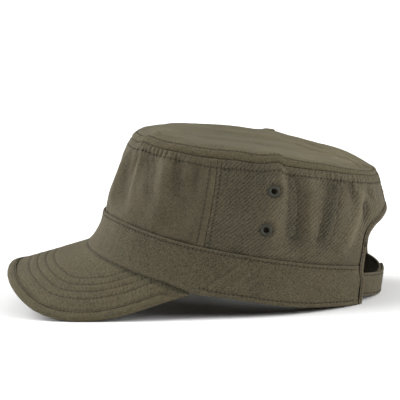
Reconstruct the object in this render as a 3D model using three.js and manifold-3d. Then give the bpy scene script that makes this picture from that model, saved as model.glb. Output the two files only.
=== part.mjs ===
import * as THREE from 'three';
import { mergeVertices } from 'three/addons/utils/BufferGeometryUtils.js';
import Module from 'manifold-3d';

const wasm = await Module();
wasm.setup();

// Army cap: a flat-topped crown on a wide band, a curved peak in front and an
// arched, strap-closed opening at the back.  Millimetres.
//
// The pieces are laid out level, as on a head: x to the wearer's left, y to the
// back, z up.  An angle goes round the head from the front (0) over the left
// side (90) to the back (180), in degrees.  A level v runs up the wall:
// 0 band bottom, 1 band top, 1.5 crown middle, 2 crown seam.  At the end the whole cap is tipped
// back until the peak's two sides and the band's two rear corners stand on z = 0.

// ---- driving sizes -------------------------------------------------------
const GAP = 0.3;              // clearance between sewn neighbours
const CLOTH = 1.6;            // crown wall, two plies of twill
const BAND_THICK = 2.4;       // band wall
const BAND_PROUD = 1.4;       // how far the band stands outside the crown
const FRONT_SEAM = 76;        // angle of the seam between front and side panel
const FLARE = 2.2;            // hollow of the band's front face above the peak

// one row for each level: the oval's half sizes, its centre and its squareness
const LEVELS = [
  { name: 'band_bottom', half_width: 84, half_length: 101.5, centre_y: 13.9, power: 2.25 },
  { name: 'band_top',    half_width: 81, half_length: 97.5,  centre_y: 16.8, power: 2.25 },
  { name: 'crown_mid',   half_width: 77, half_length: 93.1,  centre_y: 16.2, power: 2.25 },
  { name: 'crown_seam',  half_width: 71, half_length: 83.1,  centre_y: 13.1, power: 2.25 },
];

// heights round the head, the same on both sides but for the crown seam, which
// sinks a little at the right rear
const HEIGHTS = [
  { angle: 0,   band_bottom: 35.0, band_top: 59.4, crown_seam: 110.6, right_sink: 0.0 },
  { angle: 30,  band_bottom: 34.4, band_top: 60.8, crown_seam: 112.6, right_sink: 0.0 },
  { angle: 60,  band_bottom: 31.0, band_top: 58.8, crown_seam: 113.9, right_sink: 0.0 },
  { angle: 70,  band_bottom: 29.1, band_top: 58.5, crown_seam: 114.8, right_sink: 0.05 },
  { angle: 78,  band_bottom: 27.5, band_top: 58.5, crown_seam: 115.7, right_sink: 0.15 },
  { angle: 86,  band_bottom: 28.7, band_top: 58.6, crown_seam: 116.6, right_sink: 0.3 },
  { angle: 96,  band_bottom: 29.7, band_top: 58.8, crown_seam: 117.5, right_sink: 0.6 },
  { angle: 120, band_bottom: 30.8, band_top: 59.6, crown_seam: 119.0, right_sink: 1.4 },
  { angle: 150, band_bottom: 35.2, band_top: 60.8, crown_seam: 118.6, right_sink: 1.6 },
  { angle: 180, band_bottom: 37.0, band_top: 60.0, crown_seam: 116.6, right_sink: 0.0 },
];

// soft folds of the crown wall: where, how wide, how far out (+) or in (-),
// between which levels, and how many degrees the fold leans over its height
const FOLDS = [
  { angle: -66, width: 9,  out: -1.6, from: 1.00, to: 1.80, lean: 6 },
  { angle: -50, width: 8,  out: 1.5,  from: 1.15, to: 2.00, lean: -5 },
  { angle: -33, width: 9,  out: -1.9, from: 1.00, to: 1.85, lean: 5 },
  { angle: -15, width: 8,  out: 1.4,  from: 1.00, to: 1.95, lean: -4 },
  { angle: 4,   width: 8,  out: -1.5, from: 1.05, to: 1.80, lean: 4 },
  { angle: 20,  width: 7,  out: 1.6,  from: 1.00, to: 1.90, lean: 3 },
  { angle: 33,  width: 9,  out: -2.2, from: 1.05, to: 1.85, lean: 6 },
  { angle: 51,  width: 7,  out: 1.6,  from: 1.00, to: 1.95, lean: -3 },
  { angle: 63,  width: 8,  out: -1.9, from: 1.00, to: 1.85, lean: 4 },
  { angle: 84,  width: 8,  out: -1.2, from: 1.25, to: 1.95, lean: 5 },
  { angle: 104, width: 9,  out: 1.7,  from: 1.05, to: 2.00, lean: 4 },
  { angle: 117, width: 7,  out: -2.3, from: 1.00, to: 1.90, lean: 6 },
  { angle: 130, width: 8,  out: 1.5,  from: 1.10, to: 1.90, lean: 5 },
  { angle: 146, width: 8,  out: -1.4, from: 1.20, to: 1.90, lean: 6 },
  { angle: 162, width: 9,  out: 1.2,  from: 1.40, to: 2.00, lean: 3 },
  { angle: 200, width: 10, out: 1.4,  from: 1.35, to: 2.00, lean: -3 },
  { angle: 218, width: 8,  out: -1.8, from: 1.10, to: 1.90, lean: -5 },
  { angle: 237, width: 8,  out: 1.5,  from: 1.00, to: 1.95, lean: -4 },
  { angle: 250, width: 9,  out: -1.8, from: 1.00, to: 1.90, lean: -5 },
  { angle: 268, width: 9,  out: 1.4,  from: 1.10, to: 1.90, lean: -4 },
];

// top panel's rolled shoulder: inset from the seam and rise above it, for the
// outer face and for the inner face
const SHOULDER = [
  { inset: 0.0,  rise: 0.0, inset_in: 1.6,  rise_in: 0.0 },
  { inset: 0.8,  rise: 2.4, inset_in: 2.4,  rise_in: 1.8 },
  { inset: 3.0,  rise: 4.6, inset_in: 4.1,  rise_in: 3.3 },
  { inset: 7.0,  rise: 6.0, inset_in: 7.6,  rise_in: 4.4 },
  { inset: 14.0, rise: 6.8, inset_in: 14.2, rise_in: 5.1 },
  { inset: 28.0, rise: 6.8, inset_in: 28.0, rise_in: 5.1 },
  { inset: 50.0, rise: 6.4, inset_in: 50.0, rise_in: 4.7 },
];
// how much of that rise is left along the cap: full in the middle, slack at the rear
const DOME = [
  { y: -72, share: 0.95 },
  { y: -40, share: 1.15 },
  { y: 0,   share: 1.30 },
  { y: 28,  share: 1.20 },
  { y: 60,  share: 0.90 },
  { y: 100, share: 0.50 },
];

// peak: ruled between the band's lower edge and its own outer edge
const PEAK = { corner: 76.5, thick: 3.0, binding: 6.8, proud: 0.4 };
// the outer edge of the peak's left half, at the middle of its thickness
const PEAK_EDGE = [
  { x: 0,    y: -138.5, z: 7.4 },
  { x: 15,   y: -137.4, z: 6.6 },
  { x: 30,   y: -134.2, z: 4.2 },
  { x: 50,   y: -125.2, z: 0.2 },
  { x: 63,   y: -113.4, z: -4.4 },
  { x: 71,   y: -102.3, z: -6.6 },
  { x: 76.5, y: -88.6,  z: -6.7 },
  { x: 79.8, y: -75.2,  z: -4.9 },
  { x: 82.2, y: -58.6,  z: 0.0 },
  { x: 83.4, y: -43.0,  z: 7.1 },
  { x: 83.8, y: -28.0,  z: 15.5 },
  { x: 83.9, y: -14.0,  z: 23.6 },
  { x: 83.9, y: -6.4,   z: 26.9 },
];

// back opening: straight edges up to the spring line, then a low arch
const ARCH = { half: 45.4, spring: 72, apex: 93, power: 2.4, binding: 4.5, binding_proud: 0.5 };
const STRAP = { width: 15.6, thick: 1.6, root_z: 47.6, middle_z: 46.2, root_x: 60, end_x: -20, end_under_x: 18, root_off: -3.3, middle_off: -1.2 };

// eyelets: two above each other on each side panel
const EYELET = { flange: 4.4, hole: 2.15, barrel: 2.75, cut: 3.05, lip: 0.7, back: 3.7 };
const EYELETS = [
  { name: 'upper', y: 34.9, z: 102.2 },
  { name: 'lower', y: 34.6, z: 77.4 },
];

// ---- curves through the tables -------------------------------------------
const rad = (d) => (d * Math.PI) / 180;
const clamp01 = (t) => Math.min(1, Math.max(0, t));
const smooth = (t) => { const c = clamp01(t); return c * c * (3 - 2 * c); };
const lerp = (a, b, t) => a + (b - a) * t;

// smooth curve through one column of a table; flat at both ends
function column(rows, key, value, flatEnds = true) {
  const k = rows.map((r) => r[key]);
  const p = rows.map((r) => r[value]);
  const m = p.map((_, i) => {
    if (i === 0) return flatEnds ? 0 : (p[1] - p[0]) / (k[1] - k[0]);
    if (i === p.length - 1) return flatEnds ? 0 : (p[i] - p[i - 1]) / (k[i] - k[i - 1]);
    return (p[i + 1] - p[i - 1]) / (k[i + 1] - k[i - 1]);
  });
  return (x) => {
    if (x <= k[0]) return p[0];
    if (x >= k[k.length - 1]) return p[p.length - 1];
    let i = 0;
    while (x > k[i + 1]) i++;
    const h = k[i + 1] - k[i];
    const t = (x - k[i]) / h;
    const t2 = t * t;
    const t3 = t2 * t;
    return (2 * t3 - 3 * t2 + 1) * p[i] + (t3 - 2 * t2 + t) * h * m[i]
      + (3 * t2 - 2 * t3) * p[i + 1] + (t3 - t2) * h * m[i + 1];
  };
}
const heightOf = LEVELS.map((l) => (l.name in HEIGHTS[0] ? column(HEIGHTS, 'angle', l.name) : null));
const rightSink = column(HEIGHTS, 'angle', 'right_sink');
const domeShare = column(DOME, 'y', 'share');
const fold360 = (deg) => (((deg % 360) + 540) % 360) - 180;
const fold180 = (deg) => Math.abs(fold360(deg));
const seamZ = (deg) => heightOf[3](fold180(deg)) - (fold360(deg) < 0 ? rightSink(fold180(deg)) : 0);

// ---- wall surface --------------------------------------------------------
const ovalParts = ['half_width', 'half_length', 'centre_y'];
// plan point at an angle on the oval of a level (between rows: blended sizes)
function oval(v, a) {
  const L = { power: LEVELS[0].power };
  for (const k of ovalParts) {
    if (v <= 1) L[k] = lerp(LEVELS[0][k], LEVELS[1][k], v);
    else {
      const t = v - 1;
      L[k] = LEVELS[1][k] * (1 - t) * (1 - 2 * t) + LEVELS[2][k] * 4 * t * (1 - t) + LEVELS[3][k] * t * (2 * t - 1);
    }
  }
  const r = Math.pow(
    Math.pow(Math.abs(Math.cos(a)) / L.half_length, L.power)
    + Math.pow(Math.abs(Math.sin(a)) / L.half_width, L.power), -1 / L.power);
  return [r * Math.sin(a), L.centre_y - r * Math.cos(a)];
}
function ovalNormal(v, a) {
  const p1 = oval(v, a + 0.002);
  const p0 = oval(v, a - 0.002);
  const l = Math.hypot(p1[0] - p0[0], p1[1] - p0[1]);
  return [(p1[1] - p0[1]) / l, -(p1[0] - p0[0]) / l];
}
function foldOut(deg, v) {
  let out = 0;
  for (const f of FOLDS) {
    const d = fold360(deg - f.angle - f.lean * (v - 1.5));
    if (Math.abs(d) > 2.5 * f.width) continue;
    const rise = smooth((v - f.from) / 0.25) * smooth((f.to - v) / 0.25);
    out += f.out * Math.exp(-Math.pow(d / (0.5 * f.width), 2) / 2) * rise;
  }
  return out * smooth((v - 1) / 0.12) * smooth((2 - v) / 0.12);
}
// point of the wall's outer face moved out by off, and its outward direction
function wall(deg, v, off = 0) {
  const a = rad(deg);
  const p = oval(v, a);
  const n = ovalNormal(v, a);
  let out = off;
  if (v > 1) out += foldOut(deg, v) - BAND_PROUD * (1 - smooth((v - 1) / 0.35));
  else if (Math.cos(a) > 0) out -= FLARE * Math.cos(a) ** 2 * Math.sin(Math.PI * v);
  const d = fold180(deg);
  let z;
  if (v > 1) z = lerp(heightOf[1](d), seamZ(deg), v - 1);
  else z = lerp(heightOf[0](d) + tuck(deg) * clamp01(-off / BAND_THICK), heightOf[1](d), v);
  return [p[0] + n[0] * out, p[1] + n[1] * out, z, n[0], n[1]];
}
// the wall at the back over (x, z): its point and outward direction
function backWall(x, z, off) {
  let deg = 180 - (Math.asin(Math.max(-0.95, Math.min(0.95, x / 90))) * 180) / Math.PI;
  let v = z > 60 ? 1.3 : 0.5;
  let p = wall(deg, v, off);
  for (let i = 0; i < 40; i++) {
    const L = z <= 60.5 ? 29 : 57;
    v = Math.max(0, Math.min(2, v + (0.8 * (z - p[2])) / L));
    v = z <= 60.5 ? Math.min(1, v) : Math.max(1.001, v);
    const r = Math.hypot(p[0], p[1] - 15);
    deg += (0.8 * (x - p[0])) / (r * Math.cos(rad(deg))) * (180 / Math.PI);
    p = wall(deg, v, off);
  }
  return { x: p[0], y: p[1], z, nx: p[3], ny: p[4] };
}

// ---- peak surface --------------------------------------------------------
const edgeCurve = new THREE.CatmullRomCurve3([
  ...PEAK_EDGE.slice(1).reverse().map((r) => new THREE.Vector3(r.x, r.y, r.z)),
  ...PEAK_EDGE.map((r) => new THREE.Vector3(-r.x, r.y, r.z)),
], false, 'centripetal');
edgeCurve.arcLengthDivisions = 800;
// the band's lower edge along the peak, u from 0 (left corner) to 1 (right)
function seamPoint(u) {
  const deg = PEAK.corner * (1 - 2 * u);
  const p = oval(0, rad(deg));
  return new THREE.Vector3(p[0], p[1], heightOf[0](fold180(deg)));
}
// half the peak's thickness, thinned towards its two corners
function peakHalf(u) {
  return lerp(0.6, 0.5 * PEAK.thick, smooth(Math.min(u, 1 - u) / 0.08));
}
// where the middle of the peak's thickness meets the band: under that edge by
// half the thickness, measured across the slope, and a clearance
function rootPoint(u) {
  const c = Math.min(0.96, Math.max(0.04, u));
  const n = seamPoint(c + 0.004).sub(seamPoint(c - 0.004)).cross(edgeCurve.getPointAt(c).sub(seamPoint(c))).normalize();
  const p = seamPoint(u);
  const slope = lerp(1, Math.max(0.4, Math.abs(n.z)), smooth(Math.min(u, 1 - u) / 0.03));
  p.z -= (peakHalf(u) + GAP) / slope + 0.1;
  return p;
}
function peakMid(u, q) {
  return rootPoint(u).lerp(edgeCurve.getPointAt(clamp01(u)), q);
}
function peakNormal(u, q) {
  const uu = Math.min(0.985, Math.max(0.015, u));
  const du = peakMid(uu + 0.004, q).sub(peakMid(uu - 0.004, q));
  const dq = peakMid(uu, q + 0.01).sub(peakMid(uu, q - 0.01));
  const n = du.cross(dq).normalize();
  return n.z < 0 ? n.negate() : n;
}
function peakPoint(u, q, off) {
  const p = peakMid(u, q).addScaledVector(peakNormal(u, q), off);
  return [p.x, p.y, p.z];
}
// share of a ruling that lies further than d inside the outer edge
function insetShare(u, d) {
  const e = edgeCurve.getPointAt(u);
  const r = rootPoint(u);
  const t = edgeCurve.getTangentAt(u);
  const ruling = e.clone().sub(r);
  const across = ruling.clone().addScaledVector(t, -ruling.dot(t)).length();
  return 1 - d / across;
}
// how much higher the band's lower edge is at its inner face, over the peak
function tuck(deg) {
  const d = fold180(deg);
  if (d > 90) return 0;
  const u = 0.5 * (1 - fold360(deg) / PEAK.corner);
  const c = Math.min(0.95, Math.max(0.05, u));
  const n = peakNormal(c, 0);
  const w = ovalNormal(0, rad(PEAK.corner * (1 - 2 * c)));
  const rise = (BAND_THICK * (n.x * w[0] + n.y * w[1])) / n.z;
  return Math.min(3, Math.max(0, rise)) * (1 - smooth((d - PEAK.corner) / 12));
}

// ---- closed meshes -------------------------------------------------------
function toGeometry(points, faces) {
  let vol = 0;
  for (const [a, b, c] of faces) {
    const p = points[a], q = points[b], r = points[c];
    vol += p[0] * (q[1] * r[2] - q[2] * r[1]) + p[1] * (q[2] * r[0] - q[0] * r[2]) + p[2] * (q[0] * r[1] - q[1] * r[0]);
  }
  const g = new THREE.BufferGeometry();
  g.setAttribute('position', new THREE.Float32BufferAttribute(points.flatMap((p) => [p[0], p[1], p[2]]), 3));
  g.setIndex(faces.flatMap((f) => (vol > 0 ? f : [f[0], f[2], f[1]])));
  return g;
}
// solid between two matching grids of points, face[i][j]
function slab(outer, inner, round = false) {
  const nu = outer.length;
  const nv = outer[0].length;
  const points = [...outer.flat(), ...inner.flat()];
  const id = (side, i, j) => side * nu * nv + (i % nu) * nv + j;
  const faces = [];
  const quad = (a, b, c, d) => faces.push([a, b, c], [a, c, d]);
  const cols = round ? nu : nu - 1;
  for (let i = 0; i < cols; i++) {
    for (let j = 0; j < nv - 1; j++) {
      quad(id(0, i, j), id(0, i + 1, j), id(0, i + 1, j + 1), id(0, i, j + 1));
      quad(id(1, i, j + 1), id(1, i + 1, j + 1), id(1, i + 1, j), id(1, i, j));
    }
    quad(id(1, i, 0), id(1, i + 1, 0), id(0, i + 1, 0), id(0, i, 0));
    quad(id(0, i, nv - 1), id(0, i + 1, nv - 1), id(1, i + 1, nv - 1), id(1, i, nv - 1));
  }
  if (!round) {
    for (let j = 0; j < nv - 1; j++) {
      quad(id(0, 0, j), id(0, 0, j + 1), id(1, 0, j + 1), id(1, 0, j));
      quad(id(0, nu - 1, j + 1), id(0, nu - 1, j), id(1, nu - 1, j), id(1, nu - 1, j + 1));
    }
  }
  return toGeometry(points, faces);
}
// solid swept through closed sections of equal size
function sweep(sections) {
  const n = sections[0].length;
  const points = sections.flat();
  const faces = [];
  for (let i = 0; i < sections.length - 1; i++) {
    for (let j = 0; j < n; j++) {
      const a = i * n + j, b = i * n + ((j + 1) % n), c = (i + 1) * n + ((j + 1) % n), d = (i + 1) * n + j;
      faces.push([a, b, c], [a, c, d]);
    }
  }
  const last = (sections.length - 1) * n;
  for (let j = 1; j < n - 1; j++) {
    faces.push([0, j + 1, j]);
    faces.push([last, last + j, last + j + 1]);
  }
  return toGeometry(points, faces);
}
function toSolid(geometry) {
  const g = geometry.clone();
  for (const k of Object.keys(g.attributes)) if (k !== 'position') g.deleteAttribute(k);
  const m = mergeVertices(g, 1e-4);
  return new wasm.Manifold(new wasm.Mesh({
    numProp: 3,
    vertProperties: new Float32Array(m.attributes.position.array),
    triVerts: new Uint32Array(m.index.array),
  }));
}
function fromSolid(solid) {
  const m = solid.getMesh();
  const g = new THREE.BufferGeometry();
  g.setAttribute('position', new THREE.Float32BufferAttribute(new Float32Array(m.vertProperties), 3));
  g.setIndex(new THREE.Uint32BufferAttribute(new Uint32Array(m.triVerts), 1));
  return g;
}

// ---- wall pieces ---------------------------------------------------------
function wallGrid(from, to, cols, rows, thick, off) {
  const outer = [];
  const inner = [];
  for (let i = 0; i <= cols; i++) {
    const deg = lerp(from, to, i / cols);
    const at = (r, o) => { const p = wall(deg, r.v, o); return [p[0], p[1], p[2] + r.dz]; };
    outer.push(rows.map((r) => at(r, off)));
    inner.push(rows.map((r) => at(r, off - thick)));
  }
  return slab(outer, inner);
}
const crownRows = [1.0001, 1.1, 1.22, 1.36, 1.5, 1.64, 1.78, 1.9, 2].map((v) => ({ v, dz: v < 1.01 ? GAP : v === 2 ? -GAP / 2 : 0 }));
const bandRows = [0, 0.22, 0.45, 0.7, 1].map((v) => ({ v, dz: 0 }));

// a prism along y in the shape of the back opening grown by e
function archShape(e, floor) {
  const s = new THREE.Shape();
  const h = ARCH.half + e;
  s.moveTo(-h, floor);
  s.lineTo(h, floor);
  const n = 28;
  for (let i = 0; i <= n; i++) {
    const a = (Math.PI * i) / n;
    const c = Math.cos(a);
    s.lineTo(h * Math.sign(c) * Math.pow(Math.abs(c), 2 / ARCH.power),
      ARCH.spring + (ARCH.apex + e - ARCH.spring) * Math.pow(Math.sin(a), 2 / ARCH.power));
  }
  s.closePath();
  return s;
}
function archPrism(e) {
  const g = new THREE.ExtrudeGeometry(archShape(e, -40), { depth: 90, bevelEnabled: false });
  g.rotateX(Math.PI / 2);       // (x, y, z) -> (x, -z, y)
  g.translate(0, 150, 0);       // spans y 60 to 150
  return toSolid(g);
}
const openingCut = archPrism(ARCH.binding + GAP);

const half = (0.5 * GAP / 78) * (180 / Math.PI);
const frontPanel = wallGrid(-FRONT_SEAM + half, FRONT_SEAM - half, 42, crownRows, CLOTH, 0);
function sidePanel(side) {
  const a = side > 0 ? FRONT_SEAM + half : 180 + half;
  const b = side > 0 ? 180 - half : 360 - FRONT_SEAM - half;
  let solid = toSolid(wallGrid(a, b, 32, crownRows, CLOTH, 0)).subtract(openingCut);
  for (const e of EYELETS) solid = solid.subtract(eyeletBore(side, e));
  return fromSolid(solid);
}
function bandPiece() {
  return fromSolid(toSolid(wallGrid(-160, 160, 72, bandRows, BAND_THICK, 0)).subtract(openingCut));
}

// ---- eyelets -------------------------------------------------------------
function eyeletFrame(side, e) {
  let deg = side * 105;
  let v = 1.5;
  let p = wall(deg, v);
  for (let i = 0; i < 60; i++) {
    v += (0.7 * (e.z - p[2])) / 57;
    deg += side * (0.7 * (e.y - p[1])) / 75 * (180 / Math.PI);
    p = wall(deg, v);
  }
  const c = new THREE.Vector3(p[0], p[1], p[2]);
  const up = new THREE.Vector3(...wall(deg, v + 0.07).slice(0, 3)).sub(new THREE.Vector3(...wall(deg, v - 0.07).slice(0, 3))).normalize();
  const along = new THREE.Vector3(...wall(deg + 3, v).slice(0, 3)).sub(new THREE.Vector3(...wall(deg - 3, v).slice(0, 3))).normalize();
  const n = new THREE.Vector3().crossVectors(along, up).normalize();
  if (n.dot(new THREE.Vector3(p[3], p[4], 0)) < 0) n.negate();
  // highest and lowest cloth under the flange, along n
  let hi = 0;
  let lo = 0;
  for (let i = -4; i <= 4; i++) {
    for (let j = -4; j <= 4; j++) {
      const q = new THREE.Vector3(...wall(deg + i * 0.8, v + j * 0.02).slice(0, 3)).sub(c);
      const h = q.dot(n);
      if (q.addScaledVector(n, -h).length() <= EYELET.flange + 0.4) { hi = Math.max(hi, h); lo = Math.min(lo, h); }
    }
  }
  return { c, n, hi, lo };
}
function eyeletBore(side, e) {
  const f = eyeletFrame(side, e);
  const g = new THREE.CylinderGeometry(EYELET.cut, EYELET.cut, 16, 16);
  g.applyQuaternion(new THREE.Quaternion().setFromUnitVectors(new THREE.Vector3(0, 1, 0), f.n));
  g.translate(f.c.x, f.c.y, f.c.z);
  return toSolid(g);
}
function eyeletPiece(side, e) {
  const f = eyeletFrame(side, e);
  const top = f.hi + GAP;
  const bottom = f.lo - CLOTH - GAP;
  const E = EYELET;
  const profile = [
    [E.hole, bottom - 0.5], [E.hole, top + 0.35], [E.hole + 0.35, top + E.lip], [E.flange - 0.7, top + E.lip - 0.1],
    [E.flange, top + 0.25], [E.flange, top], [E.barrel, top], [E.barrel, bottom], [E.back, bottom], [E.back, bottom - 0.5],
    [E.hole, bottom - 0.5],
  ].reverse().map((p) => new THREE.Vector2(p[0], p[1]));
  const g = new THREE.LatheGeometry(profile, 16);
  g.applyQuaternion(new THREE.Quaternion().setFromUnitVectors(new THREE.Vector3(0, 1, 0), f.n));
  g.translate(f.c.x, f.c.y, f.c.z);
  return fromSolid(toSolid(g));
}

// ---- top panel -----------------------------------------------------------
function topPanel() {
  const n = 48;
  const c = LEVELS[3];
  const front = seamZ(0);
  const back = seamZ(150) - 1;
  const plane = (y) => lerp(front, back, (y - (c.centre_y - c.half_length)) / (2 * c.half_length));
  const surface = (deg, inset, rise) => {
    const p = wall(deg, 2);
    const r = Math.hypot(p[0], p[1] - c.centre_y);
    const k = Math.max(0, (r - inset) / r);
    const x = p[0] * k;
    const y = c.centre_y + (p[1] - c.centre_y) * k;
    const rest = seamZ(deg) - plane(p[1]);
    return [x, y, plane(y) + rest * k * k + rise * domeShare(y) + GAP / 2];
  };
  const outer = [];
  const inner = [];
  for (let i = 0; i < n; i++) {
    const deg = (360 * i) / n;
    outer.push(SHOULDER.map((s) => surface(deg, s.inset, s.rise)));
    inner.push(SHOULDER.map((s) => surface(deg, s.inset_in, s.rise_in)));
  }
  const points = [...outer.flat(), ...inner.flat()];
  const nv = SHOULDER.length;
  const mid = SHOULDER[nv - 1];
  const top = points.push([0, c.centre_y, plane(c.centre_y) + mid.rise * domeShare(c.centre_y)]) - 1;
  const low = points.push([0, c.centre_y, plane(c.centre_y) + mid.rise_in * domeShare(c.centre_y)]) - 1;
  const id = (side, i, j) => side * n * nv + (i % n) * nv + j;
  const faces = [];
  for (let i = 0; i < n; i++) {
    for (let j = 0; j < nv - 1; j++) {
      faces.push([id(0, i, j), id(0, i + 1, j), id(0, i + 1, j + 1)], [id(0, i, j), id(0, i + 1, j + 1), id(0, i, j + 1)]);
      faces.push([id(1, i, j), id(1, i + 1, j + 1), id(1, i + 1, j)], [id(1, i, j), id(1, i, j + 1), id(1, i + 1, j + 1)]);
    }
    faces.push([id(0, i, nv - 1), id(0, i + 1, nv - 1), top], [id(1, i + 1, nv - 1), id(1, i, nv - 1), low]);
    faces.push([id(1, i, 0), id(1, i + 1, 0), id(0, i + 1, 0)], [id(1, i, 0), id(0, i + 1, 0), id(0, i, 0)]);
  }
  return toGeometry(points, faces);
}

// ---- peak and its binding ------------------------------------------------
const PANEL_END = (() => { let u = 0.01; while (insetShare(u, PEAK.binding) < 0.12) u += 0.002; return u; })();
function peakPiece() {
  const cols = 38;
  const rows = 4;
  const outer = [];
  const inner = [];
  const h = 0.5 * PEAK.thick;
  for (let i = 0; i <= cols; i++) {
    const u = lerp(PANEL_END, 1 - PANEL_END, i / cols);
    const end = insetShare(u, PEAK.binding);
    const deg = PEAK.corner * (1 - 2 * u);
    const w = ovalNormal(0, rad(deg));
    // first row: tucked under the band as deep as the band is thick
    const tucked = (off) => {
      const p = peakPoint(u, 0, off);
      return [p[0] - w[0] * BAND_THICK, p[1] - w[1] * BAND_THICK, p[2] + tuck(deg)];
    };
    const top = [tucked(h)];
    const low = [tucked(-h)];
    for (let j = 0; j <= rows; j++) {
      top.push(peakPoint(u, (end * j) / rows, h));
      low.push(peakPoint(u, (end * j) / rows, -h));
    }
    outer.push(top);
    inner.push(low);
  }
  return slab(outer, inner);
}
function peakBinding() {
  const sections = [];
  const cols = 56;
  for (let i = 0; i <= cols; i++) {
    const u = lerp(0.012, 0.988, i / cols);
    const side = Math.min(u, 1 - u);
    const h = peakHalf(u) + PEAK.proud * smooth((side - 0.05) / 0.05);
    const a = Math.max(0.25 * (1 - smooth(side / 0.04)), insetShare(u, PEAK.binding - GAP));
    const b = Math.max(0.7, insetShare(u, 1));
    sections.push([
      peakPoint(u, a, h), peakPoint(u, b, h), peakPoint(u, 1, Math.max(0.3, h - 1.1)),
      peakPoint(u, 1, Math.min(-0.3, 1.1 - h)), peakPoint(u, b, -h), peakPoint(u, a, -h),
    ]);
  }
  return sweep(sections);
}

// ---- binding of the back opening -----------------------------------------
function openingPath() {
  const e = 0.5 * ARCH.binding;
  const h = ARCH.half + e;
  const path = [];
  const foot = 36.3;
  for (let i = 0; i < 8; i++) path.push([h, lerp(foot, ARCH.spring, i / 8)]);
  for (let i = 0; i <= 22; i++) {
    const a = (Math.PI * i) / 22;
    const c = Math.cos(a);
    path.push([h * Math.sign(c) * Math.pow(Math.abs(c), 2 / ARCH.power),
      ARCH.spring + (ARCH.apex + e - ARCH.spring) * Math.pow(Math.max(0, Math.sin(a)), 2 / ARCH.power)]);
  }
  for (let i = 7; i >= 0; i--) path.push([-h, lerp(foot, ARCH.spring, i / 8)]);
  return path;
}
function openingBinding() {
  const path = openingPath();
  const sections = path.map(([x, z], i) => {
    const k = smooth((z - 50) / 10);         // 0 on the band, 1 on the crown
    const off = z <= 60.5 ? -BAND_PROUD * k : 0;
    const p = backWall(x, z, off);
    const a = path[Math.max(0, i - 1)];
    const b = path[Math.min(path.length - 1, i + 1)];
    const pa = backWall(a[0], a[1], off);
    const pb = backWall(b[0], b[1], off);
    const t = new THREE.Vector3(pb.x - pa.x, pb.y - pa.y, pb.z - pa.z).normalize();
    const n = new THREE.Vector3(p.nx, p.ny, 0);
    const s = new THREE.Vector3().crossVectors(t, n).normalize();
    n.crossVectors(s, t).normalize();
    if (n.x * p.nx + n.y * p.ny < 0) n.negate();
    const c = new THREE.Vector3(p.x, p.y, p.z);
    const up = ARCH.binding_proud;
    const down = -lerp(BAND_THICK, CLOTH, k) - ARCH.binding_proud;
    const w = 0.5 * ARCH.binding;
    return [[-w, up - 0.5], [-w + 0.5, up], [w - 0.5, up], [w, up - 0.5], [w, down + 0.4], [w - 0.4, down], [-w + 0.4, down], [-w, down + 0.4]].map(([q, m]) => {
      const v = c.clone().addScaledVector(s, q).addScaledVector(n, m);
      return [v.x, v.y, v.z];
    });
  });
  return sweep(sections);
}

// ---- straps --------------------------------------------------------------
const outerStrapOff = (x) => lerp(STRAP.middle_off, STRAP.root_off, smooth((x - 6) / 38));
function strapPiece(side, endX, offAt) {
  const cols = 20;
  const outer = [];
  const inner = [];
  for (let i = 0; i <= cols; i++) {
    const x = side * lerp(STRAP.root_x, endX, i / cols);
    const off = offAt(side * x);
    const mid = lerp(STRAP.middle_z, STRAP.root_z, smooth(Math.abs(x) / 48));
    const grid = [-0.5, 0, 0.5].map((k) => mid + k * STRAP.width);
    outer.push(grid.map((z) => { const p = backWall(x, z, off); return [p.x, p.y, z]; }));
    inner.push(grid.map((z) => { const p = backWall(x, z, off); return [p.x - p.nx * STRAP.thick, p.y - p.ny * STRAP.thick, z]; }));
  }
  return slab(outer, inner);
}
const underStrapOff = (x) => Math.min(STRAP.root_off, outerStrapOff(-x) - STRAP.thick - GAP);

// ---- materials -----------------------------------------------------------
const srgb = (r, g, b) => new THREE.Color().setRGB(r / 255, g / 255, b / 255, THREE.SRGBColorSpace);
const clothOf = (r, g, b) => new THREE.MeshStandardMaterial({ color: srgb(r, g, b), roughness: 0.92, metalness: 0 });
const crownCloth = clothOf(84, 78, 66);
const topCloth = clothOf(98, 92, 76);
const bandCloth = clothOf(90, 84, 69);
const peakCloth = clothOf(100, 93, 77);
const strapCloth = clothOf(100, 93, 77);
const eyeletMetal = new THREE.MeshStandardMaterial({ color: srgb(58, 60, 48), roughness: 0.45, metalness: 0.6 });

// ---- the cap -------------------------------------------------------------
const level = [
  ['top_panel', topPanel(), topCloth],
  ['front_panel', frontPanel, crownCloth],
  ['side_panel_left', sidePanel(1), crownCloth],
  ['side_panel_right', sidePanel(-1), crownCloth],
  ['band', bandPiece(), bandCloth],
  ['peak', peakPiece(), peakCloth],
  ['peak_binding', peakBinding(), peakCloth],
  ['opening_binding', openingBinding(), crownCloth],
  ['strap_left', strapPiece(1, STRAP.end_x, outerStrapOff), strapCloth],
  ['strap_right', strapPiece(-1, -STRAP.end_under_x, underStrapOff), strapCloth],
];
for (const [label, side] of [['left', 1], ['right', -1]]) {
  for (const e of EYELETS) level.push([`eyelet_${label}_${e.name}`, eyeletPiece(side, e), eyeletMetal]);
}

// lowest point of a geometry once tipped back by an angle
function lowest(geometry, tip, pick = () => true) {
  const p = geometry.attributes.position;
  let z = Infinity;
  for (let i = 0; i < p.count; i++) {
    if (pick(p.getX(i), p.getY(i))) z = Math.min(z, -Math.sin(tip) * p.getY(i) + Math.cos(tip) * p.getZ(i));
  }
  return z;
}
const byName = Object.fromEntries(level.map(([n, g]) => [n, g]));
let lo = rad(6);
let hi = rad(22);
for (let i = 0; i < 50; i++) {
  const m = 0.5 * (lo + hi);
  const frontLow = lowest(byName.peak_binding, m);
  const backLow = Math.min(lowest(byName.band, m, (x, y) => y > 40), lowest(byName.opening_binding, m), lowest(byName.strap_left, m));
  if (frontLow > backLow) hi = m; else lo = m;
}
const TIP = 0.5 * (lo + hi);

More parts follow.
